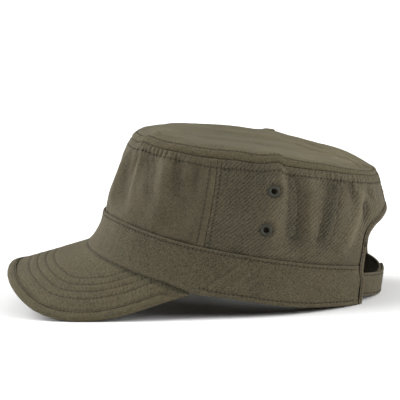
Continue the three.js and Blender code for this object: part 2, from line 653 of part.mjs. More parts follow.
const cap = new THREE.Group();
const rest = new THREE.Group();
rest.rotation.x = -TIP;
const box = new THREE.Box3();
for (const [name, geometry, material] of level) {
  const mesh = new THREE.Mesh(geometry, material.clone());
  mesh.name = name;
  rest.add(mesh);
  const g = geometry.clone().rotateX(-TIP);
  g.computeBoundingBox();
  box.union(g.boundingBox);
}
// origin under the middle of the cap, on the surface it stands on
rest.position.set(-0.5 * (box.min.x + box.max.x), -0.5 * (box.min.y + box.max.y), -box.min.z);
cap.add(rest);
cap.updateMatrixWorld(true);

export default cap;
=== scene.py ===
import math

import bpy
import numpy as np
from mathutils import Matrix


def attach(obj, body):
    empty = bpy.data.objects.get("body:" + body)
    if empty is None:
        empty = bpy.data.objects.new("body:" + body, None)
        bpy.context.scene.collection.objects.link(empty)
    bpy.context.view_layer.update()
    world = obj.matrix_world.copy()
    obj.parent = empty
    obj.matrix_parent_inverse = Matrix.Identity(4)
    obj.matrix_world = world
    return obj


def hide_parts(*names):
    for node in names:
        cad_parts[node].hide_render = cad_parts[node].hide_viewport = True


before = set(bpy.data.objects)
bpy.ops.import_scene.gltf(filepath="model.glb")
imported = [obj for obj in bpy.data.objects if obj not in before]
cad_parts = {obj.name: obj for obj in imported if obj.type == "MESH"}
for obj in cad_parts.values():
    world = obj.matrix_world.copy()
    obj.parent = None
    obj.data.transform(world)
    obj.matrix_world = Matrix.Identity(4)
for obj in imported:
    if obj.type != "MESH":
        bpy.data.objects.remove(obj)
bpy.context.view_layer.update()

# ---------------------------------------------------------------- the cap's sizes
# Millimetres, laid out level as on a head: x to the wearer's left, y to the back,
# z up.  Angles go round the head from the front (0) over the left side (90) to
# the back (180).  Levels: 0 band bottom, 1 band top, 1.5 crown middle, 2 crown
# seam.  place() then tips the cap back onto the surface that it stands on.
TIP = math.radians(12.997891916042187)
SHIFT = (0.0, 3.5368309020996094, -11.74587345123291)

GAP = 0.3
CLOTH = 1.6
BAND_THICK = 2.4
BAND_PROUD = 1.4
FRONT_SEAM = 76.0
FLARE = 2.2

# half_width, half_length, centre_y
LEVELS = {
    "band_bottom": (84.0, 101.5, 13.9),
    "band_top": (81.0, 97.5, 16.8),
    "crown_mid": (77.0, 93.1, 16.2),
    "crown_seam": (71.0, 83.1, 13.1),
}
POWER = 2.25
# angle: band_bottom, band_top, crown_seam, right_sink
HEIGHTS = {
    0: (35.0, 59.4, 110.6, 0.0),
    30: (34.4, 60.8, 112.6, 0.0),
    60: (31.0, 58.8, 113.9, 0.0),
    70: (29.1, 58.5, 114.8, 0.05),
    78: (27.5, 58.5, 115.7, 0.15),
    86: (28.7, 58.6, 116.6, 0.3),
    96: (29.7, 58.8, 117.5, 0.6),
    120: (30.8, 59.6, 119.0, 1.4),
    150: (35.2, 60.8, 118.6, 1.6),
    180: (37.0, 60.0, 116.6, 0.0),
}
# big folds of the crown wall: angle, width, out, from, to, lean
FOLDS = [
    (-66, 9, -1.6, 1.00, 1.80, 6),
    (-50, 8, 1.5, 1.15, 2.00, -5),
    (-33, 9, -1.9, 1.00, 1.85, 5),
    (-15, 8, 1.4, 1.00, 1.95, -4),
    (4, 8, -1.5, 1.05, 1.80, 4),
    (20, 7, 1.6, 1.00, 1.90, 3),
    (33, 9, -2.2, 1.05, 1.85, 6),
    (51, 7, 1.6, 1.00, 1.95, -3),
    (63, 8, -1.9, 1.00, 1.85, 4),
    (84, 8, -1.2, 1.25, 1.95, 5),
    (104, 9, 1.7, 1.05, 2.00, 4),
    (117, 7, -2.3, 1.00, 1.90, 6),
    (130, 8, 1.5, 1.10, 1.90, 5),
    (146, 8, -1.4, 1.20, 1.90, 6),
    (162, 9, 1.2, 1.40, 2.00, 3),
    (200, 10, 1.4, 1.35, 2.00, -3),
    (218, 8, -1.8, 1.10, 1.90, -5),
    (237, 8, 1.5, 1.00, 1.95, -4),
    (250, 9, -1.8, 1.00, 1.90, -5),
    (268, 9, 1.4, 1.10, 1.90, -4),
]
# rolled shoulder of the top panel: inset from the seam, rise above it
SHOULDER = [(0.0, 0.0), (0.8, 2.4), (3.0, 4.6), (7.0, 6.0), (14.0, 6.8), (28.0, 6.8), (50.0, 6.4), (90.0, 6.4)]
# share of that rise along the cap
DOME = {-72: 0.95, -40: 1.15, 0: 1.30, 28: 1.20, 60: 0.90, 100: 0.50}

CORNER = 76.5
PEAK_THICK = 3.0
PEAK_BINDING = 6.8
PEAK_PROUD = 0.4
# outer edge of the peak's left half: x, y, z
PEAK_EDGE = [
    (0.0, -138.5, 7.4), (15.0, -137.4, 6.6), (30.0, -134.2, 4.2), (50.0, -125.2, 0.2),
    (63.0, -113.4, -4.4), (71.0, -102.3, -6.6), (76.5, -88.6, -6.7), (79.8, -75.2, -4.9),
    (82.2, -58.6, 0.0), (83.4, -43.0, 7.1), (83.8, -28.0, 15.5), (83.9, -14.0, 23.6), (83.9, -6.4, 26.9),
]
ARCH_HALF, ARCH_SPRING, ARCH_APEX, ARCH_POWER = 45.4, 72.0, 93.0, 2.4
TAPE = 4.5
STRAP_WIDTH, STRAP_THICK = 15.6, 1.6
EYELETS = [("upper", 34.9, 102.2), ("lower", 34.6, 77.4)]

# sewing
PITCH = 2.75          # stitch length with its gap
SEAM_ROW = 5.0        # rows beside the crown seam
SIDE_ROW = 4.6        # rows beside the upright seams
SIDE_ROW_BACK = 2.9   # the same on the side panel of the front upright seams
BAND_TOP_ROW = 2.0
BAND_LOW_ROW = 3.4
PEAK_ROWS = (16.0, 22.0, 28.0, 34.0)


# ---------------------------------------------------------------- small helpers
def smooth(t):
    t = np.clip(t, 0.0, 1.0)
    return t * t * (3.0 - 2.0 * t)


def lerp(a, b, t):
    return a + (b - a) * t


def bell(d, w):
    return np.exp(-((d / w) ** 2))


def unit(v):
    return v / np.maximum(np.linalg.norm(v, axis=-1, keepdims=True), 1e-9)


def column(table, index=None):
    """Smooth curve through one column of a table, flat at both ends."""
    k = np.array(sorted(table), float)
    p = np.array([table[i] if index is None else table[i][index] for i in sorted(table)], float)
    m = np.zeros_like(p)
    m[1:-1] = (p[2:] - p[:-2]) / (k[2:] - k[:-2])

    def at(x):
        x = np.clip(np.asarray(x, float), k[0], k[-1])
        i = np.clip(np.searchsorted(k, x) - 1, 0, len(k) - 2)
        h = k[i + 1] - k[i]
        t = (x - k[i]) / h
        t2, t3 = t * t, t * t * t
        return ((2 * t3 - 3 * t2 + 1) * p[i] + (t3 - 2 * t2 + t) * h * m[i]
                + (3 * t2 - 2 * t3) * p[i + 1] + (t3 - t2) * h * m[i + 1])

    return at


def wrap(deg):
    return np.mod(np.asarray(deg, float) + 180.0, 360.0) - 180.0


def noise(x, y, seed=0):
    """Smooth gradient noise, about -1 to 1, the same on every run."""
    rs = np.random.RandomState(1000 + seed)
    perm = rs.permutation(256)
    turn = rs.uniform(0, 2 * math.pi, 256)
    x, y = np.broadcast_arrays(np.asarray(x, float), np.asarray(y, float))
    xi, yi = np.floor(x).astype(int), np.floor(y).astype(int)
    xf, yf = x - xi, y - yi
    u = xf ** 3 * (xf * (xf * 6 - 15) + 10)
    v = yf ** 3 * (yf * (yf * 6 - 15) + 10)

    def corner(i, j):
        a = turn[perm[(perm[(xi + i) & 255] + yi + j) & 255]]
        return np.cos(a) * (xf - i) + np.sin(a) * (yf - j)

    return 1.5 * lerp(lerp(corner(0, 0), corner(1, 0), u), lerp(corner(0, 1), corner(1, 1), u), v)


def place(p):
    """Level cap, millimetres -> the cap as it stands, metres."""
    c, s = math.cos(TIP), math.sin(TIP)
    x, y, z = p[..., 0], p[..., 1], p[..., 2]
    return np.stack([x + SHIFT[0], c * y + s * z + SHIFT[1], -s * y + c * z + SHIFT[2]], -1) * 0.001


# ---------------------------------------------------------------- wall surface
band_bottom_z = column(HEIGHTS, 0)
band_top_z = column(HEIGHTS, 1)
crown_seam_z = column(HEIGHTS, 2)
right_sink = column(HEIGHTS, 3)
dome_share = column(DOME)


def seam_z(deg):
    w = wrap(deg)
    return crown_seam_z(abs(w)) - np.where(w < 0, right_sink(abs(w)), 0.0)


def oval(v, a):
    v, a = np.broadcast_arrays(np.asarray(v, float), np.asarray(a, float))
    t = np.clip(v - 1.0, 0.0, None)
    low = np.clip(v, None, 1.0)
    L = []
    for k in range(3):
        b, m, c, s = (LEVELS[n][k] for n in ("band_bottom", "band_top", "crown_mid", "crown_seam"))
        L.append(np.where(v <= 1.0, lerp(b, m, low), m * (1 - t) * (1 - 2 * t) + c * 4 * t * (1 - t) + s * t * (2 * t - 1)))
    r = (np.abs(np.cos(a) / L[1]) ** POWER + np.abs(np.sin(a) / L[0]) ** POWER) ** (-1.0 / POWER)
    return r * np.sin(a), L[2] - r * np.cos(a)


def oval_normal(v, a):
    x1, y1 = oval(v, np.asarray(a) + 0.002)
    x0, y0 = oval(v, np.asarray(a) - 0.002)
    l = np.hypot(x1 - x0, y1 - y0)
    return (y1 - y0) / l, -(x1 - x0) / l


def fold_out(deg, v):
    out = 0.0
    for angle, width, height, start, end, lean in FOLDS:
        d = wrap(deg - angle - lean * (v - 1.5))
        ramp = smooth((v - start) / 0.25) * smooth((end - v) / 0.25)
        out = out + np.where(abs(d) <= 2.5 * width, height * np.exp(-((d / (0.5 * width)) ** 2) / 2) * ramp, 0.0)
    return out * smooth((v - 1) / 0.12) * smooth((2 - v) / 0.12)


def tuck(deg):
    return np.interp(abs(wrap(deg)), TUCK_DEG, TUCK_RISE)


def wall(deg, v, off=0.0):
    """Point of the wall's outer face moved out by off.  Below level 1 the crown
    goes straight on down when crown is meant; see crown_base."""
    deg, v, off = np.broadcast_arrays(np.asarray(deg, float), np.asarray(v, float), np.asarray(off, float))
    a = np.radians(deg)
    x, y = oval(v, a)
    nx, ny = oval_normal(v, a)
    crown = v > 1
    c = np.cos(a)
    out = off + np.where(crown, fold_out(deg, v) - BAND_PROUD * (1 - smooth((v - 1) / 0.35)),
                         np.where(c > 0, -FLARE * c * c * np.sin(np.pi * np.clip(v, 0, 1)), 0.0))
    d = abs(wrap(deg))
    zc = lerp(band_top_z(d), seam_z(deg), v - 1)
    zb = lerp(band_bottom_z(d) + tuck(deg) * np.clip(-off / BAND_THICK, 0, 1), band_top_z(d), v)
    return np.stack([x + nx * out, y + ny * out, np.where(crown, zc, zb)], -1)


def crown_length(deg):
    """Height of the crown wall at an angle, along the cloth."""
    return 1.012 * (seam_z(deg) - band_top_z(abs(wrap(deg))))


def crown_base(deg, v, off=0.0):
    low = np.clip(1.0001 - np.asarray(v, float), 0.0, None)
    p = wall(deg, np.maximum(v, 1.0001), off)
    p[..., 2] -= low * crown_length(deg)
    p[..., 2] += seam_lift(arc(deg)) * smooth((np.asarray(v, float) - 1.45) / 0.55)
    return p


_deg = np.linspace(0, 180, 721)
_pt = np.stack(oval(1.6, np.radians(_deg)), -1)
_arc = np.r_[0, np.cumsum(np.linalg.norm(np.diff(_pt, axis=0), axis=1))]


def arc(deg):
    """Millimetres round the crown from the front, negative on the right."""
    w = np.asarray(deg, float)
    return np.sign(w) * np.interp(abs(w), _deg, _arc)


def arc_to_deg(s):
    return np.sign(s) * np.interp(abs(s), _arc, _deg)


ARC_SEAM = float(arc(FRONT_SEAM))
ARC_BACK = float(arc(180.0))


# ---------------------------------------------------------------- peak surface
def catmull(points, count=24):
    """Centripetal curve through points, as an even polyline by arc length."""
    p = np.array(points, float)
    p = np.vstack([2 * p[0] - p[1], p, 2 * p[-1] - p[-2]])
    out = []
    for i in range(1, len(p) - 2):
        p0, p1, p2, p3 = p[i - 1:i + 3]
        d0, d1, d2 = (np.linalg.norm(b - a) ** 0.5 for a, b in ((p0, p1), (p1, p2), (p2, p3)))
        t1 = ((p1 - p0) / d0 - (p2 - p0) / (d0 + d1) + (p2 - p1) / d1) * d1
        t2 = ((p2 - p1) / d1 - (p3 - p1) / (d1 + d2) + (p3 - p2) / d2) * d1
        t = np.linspace(0, 1, count, endpoint=False)[:, None]
        out.append((2 * t ** 3 - 3 * t ** 2 + 1) * p1 + (t ** 3 - 2 * t ** 2 + t) * t1
                   + (3 * t ** 2 - 2 * t ** 3) * p2 + (t ** 3 - t ** 2) * t2)
    out.append(p[-2][None, :])
    return np.vstack(out)


_edge = catmull([(x, y, z) for x, y, z in PEAK_EDGE[:0:-1]] + [(-x, y, z) for x, y, z in PEAK_EDGE], 40)
_edge_len = np.r_[0, np.cumsum(np.linalg.norm(np.diff(_edge, axis=0), axis=1))]
PEAK_LENGTH = float(_edge_len[-1])
_edge_u = _edge_len / PEAK_LENGTH


def edge_point(u):
    u = np.clip(u, 0, 1)
    return np.stack([np.interp(u, _edge_u, _edge[:, k]) for k in range(3)], -1)


def band_edge(u):
    deg = CORNER * (1 - 2 * np.asarray(u, float))
    x, y = oval(0.0, np.radians(deg))
    return np.stack([x, y, band_bottom_z(abs(deg))], -1)


def peak_half(u):
    u = np.asarray(u, float)
    return lerp(0.6, 0.5 * PEAK_THICK, smooth(np.minimum(u, 1 - u) / 0.08))


_u = np.linspace(0, 1, 1201)
_c = np.clip(_u, 0.04, 0.96)
_n = unit(np.cross(band_edge(_c + 0.004) - band_edge(_c - 0.004), edge_point(_c) - band_edge(_c)))
_root = band_edge(_u)
_root[:, 2] -= (peak_half(_u) + GAP) / lerp(1.0, np.maximum(0.4, abs(_n[:, 2])), smooth(np.minimum(_u, 1 - _u) / 0.03)) + 0.1


def root_point(u):
    return np.stack([np.interp(u, _u, _root[:, k]) for k in range(3)], -1)


def peak_mid(u, q):
    return lerp(root_point(u), edge_point(u), np.asarray(q, float)[..., None])


def peak_normal(u, q):
    uu = np.clip(u, 0.015, 0.985)
    du = peak_mid(uu + 0.004, q) - peak_mid(uu - 0.004, q)
    dq = peak_mid(uu, np.asarray(q) + 0.01) - peak_mid(uu, np.asarray(q) - 0.01)
    n = unit(np.cross(du, dq))
    return n * np.where(n[..., 2:] < 0, -1.0, 1.0)


def peak_point(u, q, off):
    u, q, off = np.broadcast_arrays(np.asarray(u, float), np.asarray(q, float), np.asarray(off, float))
    return peak_mid(u, q) + peak_normal(u, q) * off[..., None]


_e, _r = edge_point(_u), root_point(_u)
_t = unit(edge_point(np.clip(_u + 0.002, 0, 1)) - edge_point(np.clip(_u - 0.002, 0, 1)))
_rule = _e - _r
_across = np.linalg.norm(_rule - _t * (_rule * _t).sum(1, keepdims=True), axis=1)


def across(u):
    """Width of the peak at u, square to its edge."""
    return np.interp(u, _u, _across)


TUCK_DEG = np.linspace(0, 90, 361)
_cu = np.clip(0.5 * (1 - TUCK_DEG / CORNER), 0.05, 0.95)
_pn = peak_normal(_cu, np.zeros_like(_cu))
_wn = np.stack(oval_normal(0.0, np.radians(CORNER * (1 - 2 * _cu))), -1)
TUCK_RISE = np.clip(BAND_THICK * (_pn[:, 0] * _wn[:, 0] + _pn[:, 1] * _wn[:, 1]) / _pn[:, 2], 0, 3) * (1 - smooth((TUCK_DEG - CORNER) / 12))
TUCK_RISE[-1] = 0.0


# ---------------------------------------------------------------- back wall and arch
def back_solve(x, z, off, deg=None, v=None):
    """Angle and level where the back wall passes over (x, z)."""
    x, z, off = np.broadcast_arrays(np.asarray(x, float), np.asarray(z, float), np.asarray(off, float))
    deg = 180 - np.degrees(np.arcsin(np.clip(x / 90, -0.95, 0.95)))
    band = z <= 60.5
    v = np.where(band, 0.5, 1.3)
    for _ in range(40):
        p = wall(deg, v, off)
        v = np.clip(v + 0.8 * (z - p[..., 2]) / np.where(band, 29.0, 57.0), 0, 2)
        v = np.where(band, np.minimum(v, 1.0), np.maximum(v, 1.001))
        r = np.hypot(p[..., 0], p[..., 1] - 15)
        deg = deg + np.degrees(0.8 * (x - p[..., 0]) / (r * np.cos(np.radians(deg))))
    return deg, v


def back_wall(x, z, off):
    deg, v = back_solve(x, z, off)
    nx, ny = oval_normal(v, np.radians(deg))
    return wall(deg, v, off), np.stack([nx, ny, np.zeros_like(nx)], -1)


def arch_curve(e, foot, n=400):
    """Left foot to right foot of the opening's edge grown by e, in (x, z)."""
    h = ARCH_HALF + e
    a = np.linspace(0, np.pi, n)
    c, s = np.cos(a), np.clip(np.sin(a), 0, None)
    x = h * np.sign(c) * np.abs(c) ** (2 / ARCH_POWER)
    z = ARCH_SPRING + (ARCH_APEX + e - ARCH_SPRING) * s ** (2 / ARCH_POWER)
    up = np.linspace(foot, ARCH_SPRING, 60, endpoint=False)
    return np.vstack([np.c_[np.full(60, h), up], np.c_[x, z], np.c_[np.full(60, -h), up[::-1]]])


def arch_level(x, z, e):
    """Above 1 outside the opening grown by e."""
    h = ARCH_HALF + e
    up = np.clip(z - ARCH_SPRING, 0, None) / (ARCH_APEX + e - ARCH_SPRING)
    return (abs(x) / h) ** ARCH_POWER + up ** ARCH_POWER


# ---------------------------------------------------------------- mesh making
MESHES = []


def new_object(name, verts, faces, cloth=None, tone=None, sew=None):
    """Mesh object from world-metre vertices and an (n, 4) face table, -1 for the
    missing corner of a triangle."""
    mesh = bpy.data.meshes.new(name)
    counts = np.where(faces[:, 3] < 0, 3, 4)
    flat = faces.ravel()
    flat = flat[flat >= 0]
    mesh.vertices.add(len(verts))
    mesh.vertices.foreach_set("co", np.asarray(verts, np.float32).ravel())
    mesh.loops.add(len(flat))
    mesh.loops.foreach_set("vertex_index", flat.astype(np.int32))
    mesh.polygons.add(len(faces))
    mesh.polygons.foreach_set("loop_start", np.r_[0, np.cumsum(counts)[:-1]].astype(np.int32))
    mesh.polygons.foreach_set("use_smooth", np.ones(len(faces), bool))
    mesh.update(calc_edges=True)
    mesh.validate()
    if cloth is not None:
        a = mesh.attributes.new("cloth", "FLOAT_VECTOR", "POINT")
        c = np.zeros((len(verts), 3), np.float32)
        c[:, :cloth.shape[1]] = cloth
        a.data.foreach_set("vector", c.ravel())
    if tone is not None:
        a = mesh.attributes.new("tone", "FLOAT", "POINT")
        a.data.foreach_set("value", np.asarray(tone, np.float32))
    if sew is not None:
        a = mesh.attributes.new("sew", "FLOAT_VECTOR", "POINT")
        c = np.zeros((len(verts), 3), np.float32)
        c[:, :2] = sew
        a.data.foreach_set("vector", c.ravel())
    obj = bpy.data.objects.new(name, mesh)
    bpy.context.scene.collection.objects.link(obj)
    return obj


def grid_faces(nu, nv):
    i, j = np.meshgrid(np.arange(nu - 1), np.arange(nv - 1), indexing="ij")
    a = (i * nv + j).ravel()
    return np.stack([a, a + nv, a + nv + 1, a + 1], -1)


def vertex_normals(p, faces):
    n = np.zeros_like(p)
    d = np.where(faces[:, 3:] < 0, faces[:, 2:3], faces[:, 3:])[:, 0]
    a, b, c = faces[:, 0], faces[:, 1], faces[:, 2]
    f = np.cross(p[c] - p[a], p[d] - p[b])
    tri = faces[:, 3] < 0
    f[tri] = np.cross(p[b[tri]] - p[a[tri]], p[c[tri]] - p[a[tri]])
    for k in (a, b, c):
        np.add.at(n, k, f)
    np.add.at(n, d[~tri], f[~tri])
    return unit(n)


def boundary(faces, count):
    """Directed edges that only one face has."""
    tri = faces[:, 3] < 0
    q, t = faces[~tri], faces[tri]
    e = np.vstack([q[:, [0, 1]], q[:, [1, 2]], q[:, [2, 3]], q[:, [3, 0]], t[:, [0, 1]], t[:, [1, 2]], t[:, [2, 0]]])
    key, back = e[:, 0] * count + e[:, 1], e[:, 1] * count + e[:, 0]
    return e[~np.isin(key, back)]


def shell(name, base, faces, relief=0.0, thick=CLOTH, inner=None, relief_in=0.0, edge=0.4, rings=3, cloth=None, tone=None, sew=None):
    """Closed cloth of some thickness: outer face, inner face and a rounded edge
    all round.  base and inner are in millimetres, level cap."""
    used = np.zeros(len(base), bool)
    used[faces[faces >= 0]] = True
    index = np.full(len(base) + 1, -1)
    index[:-1][used] = np.arange(used.sum())
    faces = index[faces]

    def pick(a):
        return a[used] if isinstance(a, np.ndarray) and a.ndim else a

    base, inner, cloth = base[used], None if inner is None else inner[used], cloth[used]
    relief, relief_in, edge = pick(relief), pick(relief_in), pick(edge)
    tone = np.zeros(len(base)) if tone is None else pick(tone)
    sew = np.tile([9.0, 0.0], (len(base), 1)) if sew is None else sew[used]
    n = vertex_normals(base, faces)
    out = base + n * np.broadcast_to(relief, len(base))[:, None]
    inn = (base - n * thick if inner is None else inner) + n * np.broadcast_to(relief_in, len(base))[:, None]
    e = boundary(faces, len(base))
    w = np.zeros_like(base)
    side = np.cross(unit(out[e[:, 1]] - out[e[:, 0]]), n[e[:, 0]])
    np.add.at(w, e[:, 0], side)
    np.add.at(w, e[:, 1], side)
    rim = np.unique(e)
    w = unit(w)[rim]
    size = np.broadcast_to(edge, len(base))[rim][:, None]
    mid, reach = 0.5 * (out[rim] + inn[rim]), 0.5 * (out[rim] - inn[rim])
    count = len(base)
    verts, table = [out, inn], {}
    cl, tn, sw = [cloth, cloth], [tone, tone * 0.6], [sew, sew]
    pos = np.full(count, -1)
    pos[rim] = np.arange(len(rim))
    previous, quads = e, []
    start = 2 * count
    for k in range(1, rings + 1):
        th = np.pi * k / (rings + 1)
        verts.append(mid + reach * math.cos(th) + w * size * math.sin(th))
        cl.append(cloth[rim])
        tn.append(tone[rim])
        sw.append(sew[rim])
        now = start + pos[e]
        quads.append(np.stack([previous[:, 1], previous[:, 0], now[:, 0], now[:, 1]], -1))
        previous = now
        start += len(rim)
    now = count + e
    quads.append(np.stack([previous[:, 1], previous[:, 0], now[:, 0], now[:, 1]], -1))
    back = np.where(faces < 0, -1, faces + count)
    quad = back[:, 3] >= 0
    flipped = np.where(quad[:, None], back[:, [0, 3, 2, 1]], np.stack([back[:, 0], back[:, 2], back[:, 1], back[:, 3]], -1))
    allfaces = np.vstack([faces, flipped] + quads)
    return new_object(name, place(np.vstack(verts)), allfaces, np.vstack(cl), np.concatenate(tn), np.vstack(sw))


def spaced(length, marks, fine=0.32, coarse=0.95, reach=1.3):
    """Positions from 0 to length, close together near the marks."""
    x, out = 0.0, [0.0]
    while x < length:
        near = min([abs(x - m) for m in marks] or [99])
        x += lerp(fine, coarse, float(smooth((near - reach * 0.4) / (reach * 1.6))))
        out.append(x)
    out = np.array(out)
    return out * (length / out[-1])


# ---------------------------------------------------------------- stitches
class Threads:
    """Many short stitches joined in one mesh."""

    def __init__(self, seed):
        self.verts, self.faces, self.count, self.rs = [], [], 0, np.random.RandomState(seed)

    def row(self, points, normals, along=None, radius=0.22, step=PITCH, fill=0.60, lift=0.12, dip=0.34, loose=0.10):
        points, normals = np.asarray(points, float), np.asarray(normals, float)
        if along is None:
            along = np.r_[0, np.cumsum(np.linalg.norm(np.diff(points, axis=0), axis=1))]
        if along[0] > along[-1]:
            points, normals, along = points[::-1], normals[::-1], along[::-1]
        run = along
        k = np.arange(math.ceil(run[0] / step - 0.1), math.floor(run[-1] / step + 0.1))
        n = len(k)
        if n < 1:
            return
        rs = self.rs
        start = (k + 0.5 * (1 - fill)) * step + rs.uniform(-0.12, 0.12, n)
        length = step * fill * rs.uniform(0.84, 1.05, n)
        f = np.array([0.0, 0.12, 0.35, 0.65, 0.88, 1.0])
        s = start[:, None] + length[:, None] * f
        p = np.stack([np.interp(s, run, points[:, c]) for c in range(3)], -1)
        m = unit(np.stack([np.interp(s, run, normals[:, c]) for c in range(3)], -1))
        t = unit(np.gradient(p, axis=1))
        b = unit(np.cross(t, m))
        m = np.cross(b, t)
        h = -dip + (dip + lift) * np.sin(np.pi * f) ** 0.55
        sway = rs.uniform(-loose, loose, (n, 1)) + rs.uniform(-loose, loose, (n, 1)) * (2 * f - 1)
        p = p + m * h[None, :, None] + b * sway[..., None]
        size = radius * np.array([0.45, 0.85, 1.0, 1.0, 0.85, 0.45])
        a = np.arange(6) * np.pi / 3
        ring = p[:, :, None, :] + size[None, :, None, None] * (
            b[:, :, None, :] * np.cos(a)[None, None, :, None] + m[:, :, None, :] * np.sin(a)[None, None, :, None])
        tips = np.stack([p[:, 0] - t[:, 0] * radius * 0.3, p[:, -1] + t[:, -1] * radius * 0.3], 1)
        each = 6 * 6 + 2
        v = np.concatenate([ring.reshape(n, 36, 3), tips], 1)
        f1 = []
        for i in range(5):
            for j in range(6):
                jj = (j + 1) % 6
                f1.append((i * 6 + j, i * 6 + jj, (i + 1) * 6 + jj, (i + 1) * 6 + j))
        for j in range(6):
            jj = (j + 1) % 6
            f1.append((36, jj, j, -1))
            f1.append((37, 30 + j, 30 + jj, -1))
        f1 = np.array(f1)
        off = self.count + np.arange(n)[:, None, None] * each
        self.faces.append(np.where(f1[None] < 0, -1, f1[None] + off).reshape(-1, 4))
        self.verts.append(v.reshape(-1, 3))
        self.count += n * each

    def build(self, name):
        v, f = np.vstack(self.verts), np.vstack(self.faces)
        # outward faces
        a, b, c = v[f[0, 0]], v[f[0, 1]], v[f[0, 2]]
        centre = v[:36].mean(0)
        if np.dot(np.cross(b - a, c - a), a - centre) < 0:
            quad = f[:, 3] >= 0
            f = np.where(quad[:, None], f[:, [0, 3, 2, 1]], np.stack([f[:, 0], f[:, 2], f[:, 1], f[:, 3]], -1))
        cloth = np.stack([v[:, 0] + v[:, 1], v[:, 2]], -1)
        return new_object(name, place(v), f, cloth, np.zeros(len(v)))


def surface_row(point, a, b, eps, flip=1.0):
    """Points and outward directions of a surface function along a row."""
    da, db = eps
    p = point(a, b)
    n = unit(np.cross(point(a + da, b) - point(a - da, b), point(a, b + db) - point(a, b - db))) * flip
    return p, n


# ---------------------------------------------------------------- cloth relief
def cushions(s, period, seed):
    """Little rounded pads with narrow creases between them, -1 to 1."""
    phase = s / period + 0.55 * noise(s / (3.3 * period), seed * 1.7, seed) + 0.2 * noise(s / (0.9 * period), seed * 2.3, seed + 1)
    pad = np.abs(np.sin(np.pi * phase)) ** 0.7
    size = 0.75 + 0.5 * noise(s / (1.7 * period), seed + 5.0, seed + 2)
    return (2.0 * pad - 1.1) * size


def sewn(d, row, s, seed, pucker=0.25, period=4.6, raise_by=0.30, lean=0.0, seam=0.4, dark=1.0):
    """Relief beside a seam: its rolled edge at d = 0, the thicker layers up to
    the stitch row, the row's groove and the puckers across it."""
    s = s + lean * d
    p = cushions(s, period, seed)
    q = noise(s / (0.8 * period), 0.2 * d / period + seed, seed + 3)
    reach = smooth(d / 0.8) * (1 - smooth((d - row + 0.6) / (0.75 * row)))
    after = smooth((d - row) / 1.0) * (1 - smooth((d - row) / (2.2 * row)))
    h = raise_by * smooth(d / 1.3) * (1 - smooth((d - row - 0.1) / 1.8))
    hole = 0.72 + 0.28 * np.cos(2 * np.pi * s / PITCH)
    groove = bell(d - row, 0.60)
    h = h + pucker * (p * reach + 0.5 * q * after) - 0.34 * dark * groove * hole - 0.35 * seam * bell(d, 0.6)
    # tone: puckers lighter on top and darker between, partly wear and partly painted light and shade; painted shade in
    # the row's groove and along the seam's edge
    tone = (pucker / 0.25) * (0.42 * p * reach + 0.25 * q * after) - 0.25 * dark * groove - seam * bell(d, 0.38)
    return h, tone


def cloth_wrinkles(s, t, seed, amount=1.0):
    """Soft, mostly upright wrinkles and small dents of washed cotton."""
    s2 = s + 1.2 * noise(s / 17, t / 25, seed + 9)
    h = 0.30 * noise(s2 / 11, t / 34, seed) + 0.13 * noise(s2 / 5.2, t / 13, seed + 1) + 0.055 * noise(s / 2.6, t / 3.4, seed + 2)
    return amount * h


EYE_FRAMES = {}


def eyelet_frame(side, name, y, z):
    deg, v = side * 105.0, 1.5
    for _ in range(60):
        p = wall(deg, v)
        v += 0.7 * (z - p[2]) / 57
        deg += side * np.degrees(0.7 * (y - p[1]) / 75)
    c = wall(deg, v)
    up = unit(wall(deg, v + 0.07) - wall(deg, v - 0.07))
    along = unit(wall(deg + 3, v) - wall(deg - 3, v))
    n = unit(np.cross(along, up))
    if n[0] * side < 0:
        n = -n
    i, j = np.meshgrid(np.arange(-4, 5), np.arange(-4, 5), indexing="ij")
    q = wall(deg + i * 0.8, v + j * 0.02) - c
    h = q @ n
    near = np.linalg.norm(q - h[..., None] * n, axis=-1) <= 4.8
    return {"c": c, "n": n, "seat": 0.5 * (h[near].max() + h[near].min()), "deg": float(deg), "v": float(v)}


for _side, _label in ((1, "left"), (-1, "right")):
    for _name, _y, _z in EYELETS:
        EYE_FRAMES[(_label, _name)] = eyelet_frame(_side, _name, _y, _z)


def press_eyelets(p):
    """Cloth drawn flat under each eyelet's rim."""
    p = p.copy()
    for f in EYE_FRAMES.values():
        q = p - f["c"]
        h = q @ f["n"]
        r = np.linalg.norm(q - h[..., None] * f["n"], axis=-1)
        near = (r < 9) & (abs(h) < 12)
        w = (1 - smooth((r - 4.2) / 3.6)) * near
        target = f["seat"] - 0.35 * bell(r - 4.3, 1.2)
        p = p + f["n"] * ((target - h) * w)[..., None]
    return p


def eyelet_mask(p):
    """1 away from the eyelets, 0 under them."""
    m = np.ones(p.shape[:-1])
    for f in EYE_FRAMES.values():
        q = p - f["c"]
        h = q @ f["n"]
        r = np.linalg.norm(q - h[..., None] * f["n"], axis=-1)
        m = m * (1 - (1 - smooth((r - 4.0) / 3.0)) * (abs(h) < 12))
    return m


# where the crown seam puckers most: angle, width, strength
PUCKER_ZONES = [(36, 16, 1.0), (52, 10, 0.7), (140, 17, 1.1), (-40, 18, 0.9), (-120, 22, 0.9), (172, 14, 0.7), (-165, 14, 0.7)]
